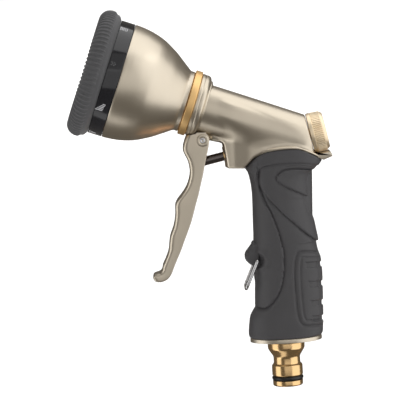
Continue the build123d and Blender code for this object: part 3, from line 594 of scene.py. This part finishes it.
def casting_distance(x, y, z):
    """Distance to the outside of the casting; y is taken as its size."""
    dx, dz = x - head.origin.x, z - head.origin.z
    s, h = dx * head.along.x + dz * head.along.z, dx * head.up.x + dz * head.up.z
    around = BARREL_R - BARREL_TAPER * (-s - BARREL_START) / BARREL_LONG
    barrel = np.hypot(y, h) - around
    drop = np.clip(-h / 13, 0, 1)
    bow = np.interp(x, bow_x, bow_y)
    below = bow + (around - bow) * (1 - drop * drop * (3 - 2 * drop))
    above = np.sqrt(np.maximum(around ** 2 - h * h, 1)) - 0.08 * np.maximum(h, 0)
    inset = np.clip((-22 - x) / 14, 0, 1)
    inset = 1.7 * inset * inset * (3 - 2 * inset)
    width = (y + inset - np.where(h > 0, above, below)) * 0.96
    housing = shared(outline_distance(HOUSING, x, z), width, 1.2)
    body = united(barrel, housing, np.interp(x, soft_x, soft_by))
    vx, vz = x - valve.origin.x, z - valve.origin.z
    t, k = vx * valve.along.x + vz * valve.along.z, vx * valve.up.x + vz * valve.up.z
    mouth = (np.hypot(y, k) - MOUTH_R - MOUTH_SLOPE * (MOUTH_AT - t)) * 0.85
    body = shared(body, mouth, 3.0)
    bridge = shared(outline_distance(BRIDGE, x, z), y - 4.5, 0.8)
    body = united(body, bridge, 2.0)
    plan = (np.hypot((x - RIM_MIDDLE) / RIM_HALF[0], y / RIM_HALF[1]) - 1) * RIM_HALF[1]
    return united(body, shared(outline_distance(BAND, x, z), plan + 0.6, 0.6), 2.2)


def leaning(way):
    """Which way is up in the fan plane at this share of the way back."""
    first = np.array([head.up.x, head.up.z])
    last = np.array([valve.up.x, valve.up.z])
    lean = first * (1 - way) + last * way
    return lean / np.linalg.norm(lean)


# Planes stand across the casting from flange to knob, closer together along the barrel, and
# the skin is found along rays in each of them. The last planes draw in to round the mouth.
FRONT_PLANES, REAR_PLANES, PLANES_MEET, RAYS = 150, 90, 0.45, 150
FAN_LONG, MOUTH_ROUND = 57, 0.7
ways = np.concatenate([np.linspace(0, PLANES_MEET, FRONT_PLANES),
                       np.linspace(PLANES_MEET, 1, REAR_PLANES + 1)[1:]])
turns = np.linspace(0, pi, RAYS + 1)
turns = turns + 0.16 * np.sin(turns) - 0.06 * np.sin(2 * turns)
origins = np.array([fan_from * (1 - w) + fan_to * w for w in ways])
leans = np.array([leaning(w) for w in ways])
ray_x = leans[:, :1] * np.cos(turns)
ray_z = leans[:, 1:] * np.cos(turns)
ray_y = np.sin(turns) * np.ones_like(ray_x)
reach = np.full(ray_x.shape, 36.0)
for _ in range(56):
    gap = casting_distance(origins[:, :1] + ray_x * reach, ray_y * reach, origins[:, 1:] + ray_z * reach)
    reach = np.maximum(reach - 0.75 * gap, 0.2)
edge = np.clip((ways - 1) * FAN_LONG + MOUTH_ROUND, 0, MOUTH_ROUND)
reach -= (MOUTH_ROUND - np.sqrt(MOUTH_ROUND ** 2 - edge ** 2))[:, None] * 0.8
bm = bmesh.new()
rows = []
for o, rx, ry, rz, rr in zip(origins, ray_x, ray_y, ray_z, reach):
    near_side = [bm.verts.new(Vector((o[0] + a * r, -b * r, o[1] + c * r)) * MM)
                 for a, b, c, r in zip(rx, ry, rz, rr)]
    far_side = [bm.verts.new(Vector((v.co.x, -v.co.y, v.co.z))) for v in near_side[-2:0:-1]]
    rows.append(near_side + far_side)
stitched(bm, rows, capped=True)
casting = finished("casting_skin", bm, satin_nickel, 60)

FLANGE = [(11.9, 9.6, 0), (11.9, -2.06, 0), (17.1, -2.06, 0.25), (17.4, -2.5, 0.3), (17.4, -4.0, 0.4),
          (17.1, -4.3, 0.4), (17.35, -4.6, 0.4), (17.25, -6.2, 1.2), (16.2, -7.35, 0.9), (14.95, -7.6, 0.3),
          (14.8, -8.4, 0.3), (13.4, -9.0, 0), (9.0, -9.5, 0), (9.0, 9.6, 0)]
flange = lathe("flange", head, eased(FLANGE, 0.3), satin_nickel, 144, 50)

# thin arched rim, following the top of the grip round the plan ellipse
bm = bmesh.new()
LIP = [(-6.0, 0.1), (0.0, 0.1), (0.32, 0.3), (0.45, 0.7), (0.36, 1.15), (0.05, 1.5), (-0.6, 1.7),
       (-6.0, 1.8)]
rows = []
for a in np.linspace(0, 2 * pi, 180, endpoint=False):
    x, y = RIM_MIDDLE + RIM_HALF[0] * cos(a), RIM_HALF[1] * sin(a)
    out = Vector((cos(a) / RIM_HALF[0], sin(a) / RIM_HALF[1])).normalized()
    z = float(np.interp(x, arch_x, arch_z))
    rows.append([bm.verts.new(Vector((x + out.x * d, y + out.y * d, z + up)) * MM) for d, up in LIP])
stitched(bm, rows, closed=True)
rim = finished("saddle_rim", bm, satin_nickel, 60)


def slab(name, outline, half, material, soften=0.5, sharp=50):
    """A side-view outline stretched across the middle plane, its edges rounded."""
    bm = bmesh.new()
    for x, z in outline:
        bm.verts.new(Vector((x, -half, z)) * MM)
    face = bm.faces.new(bm.verts)
    moved = bmesh.ops.extrude_face_region(bm, geom=[face])
    for v in moved["geom"]:
        if isinstance(v, bmesh.types.BMVert):
            v.co.y = half * MM
    rims = [e for e in bm.edges if abs(e.verts[0].co.y - e.verts[1].co.y) < 1e-9]
    bmesh.ops.bevel(bm, geom=rims, offset=soften * MM, segments=4, profile=0.5, affect="EDGES")
    return finished(name, bm, material, sharp)


def round_pivot(radius, sides):
    """A circle round the trigger's pivot, as a side-view outline."""
    turn = np.linspace(0, 2 * pi, sides, endpoint=False)
    return [(PIVOT[0] + radius * cos(a), PIVOT[1] + radius * sin(a)) for a in turn]


TONGUE = [(13.0, 132.0), (21.0, 128.0), (29.4, 128.95), (30.75, 127.0, 0.6), (30.5, 126.3), (25.7, 124.5),
          (19.5, 127.3), (13.0, 129.8)]
tongue = slab("tongue", [tuple(p) for p in eased(TONGUE, 0.5)], 7.0, satin_nickel)
boss = slab("pin_boss", round_pivot(3.4, 48), 4.5, satin_nickel, 0.3)
HANDLE = [(-10.5, 27.85), (13.5, 27.85), (13.5, 126), (-10.5, 126)]
core = slab("handle_core", HANDLE, 5.0, satin_nickel)
keep(joined(casting, flange, rim, tongue, boss, core), "body", "satin_zinc", "body_casting")

# end ring: a plated die-cast foot that closes the grip
ring_outline = [(0.0, 0), (0.0, 2.0), (-0.5, 2.5), (-6.0, 2.5), (-6.0, 0.1), (-0.7, 0.1)]
bm = bmesh.new()
rows = []
for a in np.linspace(0, 2 * pi, 160, endpoint=False):
    spot, out = Vector((0.2 + 19.8 * cos(a), 14.8 * sin(a))), Vector((cos(a), sin(a)))
    rows.append([bm.verts.new(Vector((spot.x + out.x * d, spot.y + out.y * d, 25.22 + up)) * MM)
                 for d, up in eased([p + (0.25,) for p in ring_outline], 0.25)])
stitched(bm, rows, closed=True)
end_ring = finished("foot_ring", bm, satin_nickel)
keep(end_ring, "body", "bright_zinc", "end_ring")


# ------------------------------------------------------------------------------------------
# Trigger: a plated zinc lever of U section, open to the rear, with scalloped finger places down
# its rounded front and a curled toe. It hangs on a riveted pin with dimpled heads.
# Stainless steel: cold-drawn wire and turned pins, cool grey, slightly uneven in gloss.
stainless, tree, place = new_material("stainless_steel")
gloss = noise(tree, place, 12, 1.0)
rough = ranging(tree, gloss, 0.22, 0.26)
surface(tree, Base_Color=linear("#d6d6d8"), Metallic=1.0, Roughness=rough)

# Dark steel: a ground and chemically blackened rod, a dark mirror with faint grinding marks.
dark_steel, tree, place = new_material("dark_ground_steel")
marks = noise(tree, place, 2, 2.0)
rough = ranging(tree, marks, 0.22, 0.3)
surface(tree, Base_Color=linear("#6f6866"), Metallic=1.0, Roughness=rough)

TRIGGER_FRONT = ((-47.6, 143.5), (-49.4, 140.4), (-50.8, 136.2), (-50.9, 133.6), (-49.9, 131.0),
                 (-48.7, 128.2), (-48.0, 124.6), (-47.9, 121.4), (-48.5, 118.0), (-50.2, 113.6),
                 (-53.0, 109.6), (-55.6, 106.5), (-56.9, 103.6), (-57.1, 99.0), (-58.3, 92.6),
                 (-60.5, 87.0), (-61.3, 83.0), (-61.9, 79.0), (-63.6, 74.6), (-65.4, 71.0), (-66.0, 68.6),
                 (-67.4, 67.1), (-69.4, 66.5), (-70.8, 65.7), (-71.25, 64.6))
TRIGGER_REAR = ((-37.9, 143.2), (-36.1, 140.2), (-36.6, 136.3), (-37.2, 133.6), (-38.0, 130.6),
                (-38.8, 127.4), (-39.6, 124.4), (-40.3, 121.4), (-41.2, 118.0), (-42.5, 113.6),
                (-43.6, 109.6), (-44.6, 106.5), (-45.6, 103.6), (-47.0, 99.0), (-48.9, 93.4), (-51.2, 87.9),
                (-52.9, 84.0), (-55.0, 79.0), (-57.4, 74.0), (-59.3, 69.9), (-60.9, 66.4), (-63.1, 63.6),
                (-66.4, 62.2), (-69.4, 62.3), (-70.9, 63.4))
# half widths of the lever and its slot, thickness of its front wall and what the toe adds to it
HALF, SLOT, WEB, TOE_WEB = 7.5, 4.9, 2.6, 3.4
LEAST_SLOT, SOLID_ROWS = 0.8, 13
fronts, rears = curve_through(TRIGGER_FRONT, 5), curve_through(TRIGGER_REAR, 5)
bm = bmesh.new()
rows = []
for n, (front, rear) in enumerate(zip(fronts, rears)):
    across = rear - front
    depth = across.length
    across.normalize()
    to_end = len(fronts) - 1 - n
    end = min(1.0, to_end / 9)
    half = HALF * (0.72 + 0.28 * sqrt(max(0, 1 - (1 - end) ** 2)))
    skin = depth - LEAST_SLOT
    if to_end > SOLID_ROWS:
        skin = min(WEB + TOE_WEB * (1 - min(1.0, to_end / 24)), skin)
    corner = min(3.2, depth * 0.45)
    outer = eased([(depth, half, 0.7), (0, half, corner), (0, -half, corner), (depth, -half, 0.7),
                   (depth, -SLOT, 0.4), (skin, -SLOT, 0.6), (skin, SLOT, 0.6), (depth, SLOT, 0.4)], 0.5, 6)
    rows.append([bm.verts.new(Vector((front.x + across.x * q, y, front.y + across.y * q)) * MM)
                 for q, y in outer])
stitched(bm, rows, capped=True)
trigger = finished("trigger_lever", bm, satin_nickel, 40)
PAD = ((-19.1, 3.2), (-19.1, -3.2), (-16.5, -3.2), (-16.5, 3.2))
pad_corners = [valve.at(h, 0, t) for t, h in PAD]
pad = slab("trigger_pad", [(p.x / MM, p.z / MM) for p in pad_corners], SLOT + 0.4, satin_nickel, 0.3)
UNDER_FLANGE = [(0.01, 6), (17.85, 6), (17.85, -5.4), (16.6, -7.7), (14.4, -8.8), (14.3, -30), (0.01, -30)]
under_flange = lathe("under_flange", head, UNDER_FLANGE, satin_nickel, 96)
cut = joined(trigger, pad)
slot_cut = slab("slot", round_pivot(5.0, 32), SLOT - 0.02, satin_nickel, 0.05)
for cutter in (under_flange, slot_cut):
    trim = cut.modifiers.new("trim", "BOOLEAN")
    trim.operation, trim.object, trim.solver = "DIFFERENCE", cutter, "EXACT"
    trim.use_self = True
applied(cut)
cut.data.set_sharp_from_angle(angle=radians(40))
for cutter in (under_flange, slot_cut):
    bpy.data.objects.remove(cutter)
pin_axes = Axes({"pos_m": joints["trigger_squeeze"]["pos_m"], "axis": (0, -1, 0)})
pin_axes.near, pin_axes.up = Vector((1, 0, 0)), Vector((0, 0, 1))
EYE = [(1.66, 7.3, 0), (1.66, 7.72, 0.2), (2.5, 8.0, 0.7), (3.5, 7.62, 0.3), (3.5, 7.3, 0)]
eyes = [lathe("trigger_eye", pin_axes, [(r, way * h) for r, h in eased(EYE, 0.3, 5)], satin_nickel, 64, 50)
        for way in (1, -1)]
keep(joined(cut, *eyes), "trigger", "satin_zinc", "trigger")

PIN_SIDE = [(0, 7.45, 0), (0.35, 7.35, 0.2), (0.75, 7.75, 0.2), (1.35, 7.8, 0.3), (1.58, 7.5, 0.2)]
pin_outline = [*PIN_SIDE, *((r, -h, c) for r, h, c in reversed(PIN_SIDE))]
pin = lathe("pivot_pin", pin_axes, eased(pin_outline, 0.1), stainless, 64, 50)
keep(pin, "body", "steel", "trigger_pin")


# ------------------------------------------------------------------------------------------
# Grip: soft charcoal rubber moulded over the metal handle. Swooping steps divide it into
# panels, a framed pad with four sunk bars faces the palm, and a nose carries the lock clip.
# Grip rubber: soft overmoulded thermoplastic rubber, charcoal and matt with a finely eroded skin.
grip_rubber, tree, place = new_material("charcoal_grip_rubber")
pores = noise(tree, place, 0.5, 2.0)
wear = noise(tree, place, 18, 4.0)
charcoal = two_tones(tree, wear, "#3a393b", "#424143")
rough = ranging(tree, wear, 0.5, 0.6)
bump = bumped(tree, pores, 0.1, 0.04)
surface(tree, Base_Color=charcoal, Roughness=rough, Normal=bump)

GRIP_FRONT = ((27.85, -19.9), (30.0, -20.3), (34.4, -19.9), (38.8, -19.2), (40.9, -18.4), (43.1, -17.1),
              (45.2, -16.0), (49.7, -15.8), (54.1, -15.6), (58.5, -15.4), (63.0, -15.7), (80.7, -15.1),
              (85.1, -14.9), (94.0, -14.7), (105.0, -14.4), (109.5, -14.5), (113.9, -14.9), (118.4, -15.8),
              (120.7, -17.2), (123.5, -18.4), (133.0, -18.6))
GRIP_BACK = ((27.85, 20.0), (29.9, 20.8), (36.5, 21.2), (43.2, 21.4), (60.9, 21.9), (69.8, 21.5),
             (74.3, 20.4), (78.9, 19.6), (79.9, 20.0), (80.9, 20.5), (87.6, 19.6), (92.1, 18.8),
             (96.6, 17.3), (101.1, 16.5), (103.4, 16.4), (104.4, 16.7), (105.5, 17.2), (109.9, 17.1),
             (114.4, 17.3), (118.0, 18.4), (120.8, 21.7), (124.3, 24.9), (133.0, 25.2))
GRIP_HALF = ((27.85, 14.9), (36.0, 15.2), (45.0, 14.7), (60.0, 14.2), (80.0, 14.0), (100.0, 13.6),
             (112.0, 13.6), (120.0, 13.9), (133.0, 14.1))
STEP_UPPER = ((17.6, 103.8), (15.6, 104.4), (12.3, 106.1), (5.6, 109.4), (1.2, 112.4), (-0.8, 114.9),
              (1.6, 117.9), (6.2, 119.4), (15.3, 119.0), (19.5, 118.6))
STEP_LOWER = ((21.0, 79.0), (19.5, 80.0), (13.4, 84.6), (8.2, 89.5), (2.5, 94.9), (-1.3, 99.3),
              (-4.8, 103.1), (-8.0, 108.0))
SWOOP = ((-10.9, 120.5), (-11.0, 112.7), (-8.4, 103.3), (-5.2, 96.2), (-2.8, 89.2), (-0.9, 82.2),
         (0.5, 75.2), (0.6, 68.4), (0.1, 62.4), (-1.8, 54.7), (-5.4, 48.3), (-9.9, 44.4), (-15.0, 45.1),
         (-17.5, 46.5))
SHOULDER = ((-11.2, 116.5), (-10.6, 119.6), (-8.0, 121.8), (-3.0, 122.9), (6.0, 123.2), (14.0, 122.7),
            (23.0, 121.2))
NECK_RIB = ((4.0, 120.9), (12.0, 121.2), (22.0, 119.9))
PALM = ((23.5, 73.0), (12.7, 73.8), (8.6, 73.0), (7.0, 68.1), (6.5, 60.0), (6.6, 50.1), (7.2, 39.2),
        (9.0, 34.4), (12.5, 32.9), (23.5, 32.9))
BARS = ((66.4, 11.2), (55.8, 12.3), (45.2, 12.9), (36.6, 13.6))


def line_distance(points, x, z):
    """Distance to an open side-view line, positive on its left."""
    pts = [tuple(p) for p in curve_through(points, 5)]
    nearest, side = np.full(x.shape, 1e9), np.zeros(x.shape)
    for (ax, az), (bx, bz) in zip(pts, pts[1:]):
        ex, ez = bx - ax, bz - az
        t = np.clip(((x - ax) * ex + (z - az) * ez) / (ex * ex + ez * ez), 0, 1)
        d = np.hypot(x - ax - t * ex, z - az - t * ez)
        closer = d < nearest
        side = np.where(closer, np.sign(ex * (z - az) - ez * (x - ax)), side)
        nearest = np.minimum(nearest, d)
    return nearest, side


def step(points, x, z, tall, deep, left, fade):
    """A panel edge: the raised side falls away slowly, the low side dips beside it."""
    d, side = line_distance(points, x, z)
    up = side > 0 if left else side < 0
    return np.where(up, tall * np.exp(-d / fade) * (1 - np.exp(-(d / 0.5) ** 2) * 0.5),
                    -deep * np.exp(-(d / 1.3) ** 2))


LEVELS, AROUND = 420, 220
share = np.linspace(0, 1, LEVELS)[:, None]
angle = np.linspace(0, 2 * pi, AROUND, endpoint=False)[None, :]
front_z, front_x = sampled(GRIP_FRONT, 6)
back_z, back_x = sampled(GRIP_BACK, 6)
half_z, half_y = sampled(GRIP_HALF, 6)
GRIP_FOOT, GRIP_TOP, NEAR_DROP, SQUARENESS = 27.85, 126, 1.5, 0.88
z = GRIP_FOOT + share * (GRIP_TOP - GRIP_FOOT) + 0 * angle
for _ in range(6):
    low, high = np.interp(z, front_z, front_x), np.interp(z, back_z, back_x)
    x = (low + high) / 2 + (high - low) / 2 * np.sign(np.cos(angle)) * np.abs(np.cos(angle)) ** SQUARENESS
    top = np.interp(x, arch_x, arch_z, left=121.7) + 0.02
    z = GRIP_FOOT + share * (top - GRIP_FOOT)
y = -np.interp(z, half_z, half_y) * np.sign(np.sin(angle)) * np.abs(np.sin(angle)) ** SQUARENESS
sides = np.clip(1.35 * np.abs(np.sin(angle)) ** 0.5, 0, 1)
level = z - NEAR_DROP * np.abs(np.sin(angle))
# each panel edge: its line, how high and how deep its two sides are, which is raised, its fade
EDGES = ((STEP_UPPER, 0.75, 0.6, False, 6.0), (STEP_LOWER, 0.85, 0.65, False, 7.0),
         (SWOOP, 0.55, 0.85, False, 5.0), (SHOULDER, 0.5, 0.5, True, 2.5))
raised = np.zeros(x.shape)
for points, tall, deep, left, fade in EDGES:
    raised += step(points, x, level, tall, deep, left, fade)
raised -= 0.35 * np.exp(-(line_distance(NECK_RIB, x, level)[0] / 0.45) ** 2)
raised *= sides
palm = outline_distance([tuple(p) for p in curve_through(PALM, 4)], x, level)
raised -= 0.85 * np.exp(-(palm / 0.75) ** 2) * sides
raised -= 0.55 * np.exp(-((palm + 3.0) / 0.55) ** 2) * sides
raised += 0.2 / (1 + np.exp(np.clip(palm * 3 + 3, -30, 30)))
for height, start in BARS:
    sunk = np.maximum(np.abs(level - height) - 1.6, start + 1.6 - x)
    raised -= 0.8 / (1 + np.exp(np.clip(sunk * 9, -30, 30)))
CLIP = (joints["clip_swing"]["pos_m"][0] / MM, joints["clip_swing"]["pos_m"][2] / MM)
recess = np.hypot(x - CLIP[0], z - CLIP[1])
raised -= 1.5 * np.exp(-(recess / 3.4) ** 4) * sides
raised += 0.7 * np.exp(-((recess - 5.0) / 1.5) ** 2) * sides * (x < -6)
raised *= np.clip((z - 28.2) / 1.5, 0, 1) * np.clip((top - z) / 1.2, 0, 1)
edge = np.minimum(z - GRIP_FOOT, top - z)
raised -= 0.35 * (1 - np.clip(edge / 0.5, 0, 1)) ** 2
slope_x = np.cos(angle) / np.maximum((high - low) / 2, 1)
slope_y = -np.sin(angle) / np.interp(z, half_z, half_y)
length = np.hypot(slope_x, slope_y)
x, y = x + raised * slope_x / length, y + raised * slope_y / length
bm = bmesh.new()
rows = [[bm.verts.new(Vector((a, b, c)) * MM) for a, b, c in zip(*line)] for line in zip(x, y, z)]
stitched(bm, rows)
# the sleeve is hollow, round the metal handle and the bottom of the valve
MIDDLE, BORE = 1.5 * MM, 0.78
low_bore, high_bore = ([bm.verts.new(Vector((MIDDLE + (v.co.x - MIDDLE) * BORE, v.co.y * BORE, v.co.z)))
                        for v in row]
                       for row in (rows[0], rows[-1]))
for i in range(AROUND):
    j = (i + 1) % AROUND
    bm.faces.new((rows[0][i], low_bore[i], low_bore[j], rows[0][j]))
    bm.faces.new((rows[-1][i], high_bore[i], high_bore[j], rows[-1][j]))
    bm.faces.new((low_bore[i], high_bore[i], high_bore[j], low_bore[j]))
grip = finished("grip_skin", bm, grip_rubber, 60)

# nose between the clip's legs, with a fine diamond pattern
NOSE_HALF, COLUMNS, DIAMOND, DIAMOND_TALL = 7.6, 81, 1.9, 0.6
NOSE = ((-13.5, 81.0), (-15.4, 80.3), (-16.3, 78.5), (-18.0, 76.4), (-19.4, 74.5), (-19.7, 73.2),
        (-19.5, 71.9), (-17.9, 69.9), (-15.8, 68.4), (-13.0, 66.4))
path = [tuple(p) for p in curve_through(NOSE, 9)]
gaps = [np.hypot(b[0] - a[0], b[1] - a[1]) for a, b in zip(path, path[1:])]
along = np.concatenate([[0], np.cumsum(gaps)])
bm = bmesh.new()
rows = []
for n, (px, pz) in enumerate(path):
    before, after = path[max(n - 1, 0)], path[min(n + 1, len(path) - 1)]
    way = Vector((after[0] - before[0], after[1] - before[1])).normalized()
    out = Vector((way.y, -way.x))
    if out.x > 0:
        out = -out
    row = []
    for across in np.linspace(-NOSE_HALF, NOSE_HALF, COLUMNS):
        u, v = (along[n] + across) / DIAMOND, (along[n] - across) / DIAMOND
        peak = (1 - max(abs(u % 1 - 0.5), abs(v % 1 - 0.5)) * 2) * DIAMOND_TALL
        fade = min(1, NOSE_HALF - abs(across), n / 4, (len(path) - 1 - n) / 4)
        shape = -1.2 * max(0, abs(across) - 6.0) ** 2 / 2.56
        push = peak * fade + shape
        row.append(bm.verts.new(Vector((px + out.x * push, across, pz + out.y * push)) * MM))
    rows.append(row)
for a, b in zip(rows, rows[1:]):
    for i in range(COLUMNS - 1):
        bm.faces.new((a[i], a[i + 1], b[i + 1], b[i]))
bm.faces.new([r[0] for r in rows][::-1])
bm.faces.new([r[-1] for r in rows])
bm.faces.new(rows[0] + rows[-1][::-1])
nose = finished("clip_nose", bm, grip_rubber, 25)
keep(joined(grip, nose), "body", "grip_rubber", "grip_sleeve")


# ------------------------------------------------------------------------------------------
# Lock clip: a bright stainless wire bail. Its ends hook into the nose of the grip, and it swings
# up over the trigger to hold it squeezed.
LEG, LEAN, LEG_Y, WIRE_R = 17.0, radians(24.6), 9.2, 0.9
foot = (CLIP[0] - LEG * sin(LEAN), CLIP[1] - LEG * cos(LEAN))
bends = [Vector((CLIP[0], -5.2, CLIP[1])), Vector((CLIP[0], -LEG_Y, CLIP[1])),
         Vector((foot[0], -LEG_Y, foot[1])), Vector((foot[0], LEG_Y, foot[1])),
         Vector((CLIP[0], LEG_Y, CLIP[1])), Vector((CLIP[0], 5.2, CLIP[1]))]
wire = [bends[0]]
for before, here, after, r in zip(bends, bends[1:], bends[2:], (1.1, 3.0, 3.0, 1.1)):
    start, end = here + (before - here).normalized() * r, here + (after - here).normalized() * r
    wire += [start * (1 - t) ** 2 + here * 2 * t * (1 - t) + end * t * t for t in np.linspace(0, 1, 9)]
wire.append(bends[-1])


def wound(name, path, radius, material, sides=24):
    """A round wire along a path of points in mm."""
    bm = bmesh.new()
    rows, side = [], Vector((1, 0, 0))
    for n, spot in enumerate(path):
        way = (path[min(n + 1, len(path) - 1)] - path[max(n - 1, 0)]).normalized()
        side = (side - way * side.dot(way)).normalized()
        other = way.cross(side)
        rows.append([bm.verts.new((spot + (side * cos(a) + other * sin(a)) * radius) * MM)
                     for a in np.linspace(0, 2 * pi, sides, endpoint=False)])
    stitched(bm, rows, capped=True)
    return finished(name, bm, material, 50)


keep(wound("clip_bail", wire, WIRE_R, stainless), "lock_clip", "steel", "lock_clip")


# ------------------------------------------------------------------------------------------
# Valve spring: six turns of stainless wire between the valve's nut and the wall of the flow
# sleeve, built as one fixed coil on no body. On the real nozzle its front end travels with the valve and its rear
# end stays, so it shortens.
COIL_R, COIL_WIRE, COIL_TURNS, COIL_FRONT, COIL_REAR = 5.0, 0.5, 6, 26.65, 41.7
coil = [valve.at(COIL_R, a, COIL_FRONT + (COIL_REAR - COIL_FRONT) * a / (360 * COIL_TURNS)) / MM
        for a in np.linspace(0, 360 * COIL_TURNS, 36 * COIL_TURNS + 1)]
spring = wound("spring_coil", coil, COIL_WIRE, stainless, 12)
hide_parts("valve_spring")
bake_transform(spring)


# ------------------------------------------------------------------------------------------
# Everything else is a machined or moulded piece whose frame shape is already right, so it only
# gets its own material: stainless and dark steel, acetal, grey ABS, nitrile and brass.
# Acetal: turned from natural rod, milky white with a waxy, slightly uneven sheen.
acetal, tree, place = new_material("white_acetal")
milk = noise(tree, place, 4, 2.0)
cream = two_tones(tree, milk, "#dfdfd9", "#d6d5cd")
rough = ranging(tree, milk, 0.38, 0.46)
surface(tree, Base_Color=cream, Roughness=rough)
# Grey ABS: moulded against a spark-eroded tool, dark grey with a fine even texture.
grey_abs, tree, place = new_material("dark_grey_abs")
spark = noise(tree, place, 0.5, 2.0)
bump = bumped(tree, spark, 0.15, 0.05)
surface(tree, Base_Color=linear("#2f3033"), Roughness=0.5, Normal=bump)

BY_SLOT = {"satin_zinc": satin_nickel, "bright_zinc": satin_nickel, "brass": brass, "steel": stainless,
           "dark_steel": dark_steel, "white_plastic": acetal, "grey_plastic": grey_abs,
           "seal_rubber": nitrile, "grip_rubber": grip_rubber, "bumper_rubber": bumper_rubber,
           "black_plastic": gloss_black}
slots = {s["node"]: s["material_slot"] for s in frame["record"]["subparts"]}
for name, piece in nodes.items():
    piece.data.materials.clear()
    piece.data.materials.append(BY_SLOT[slots[name]])
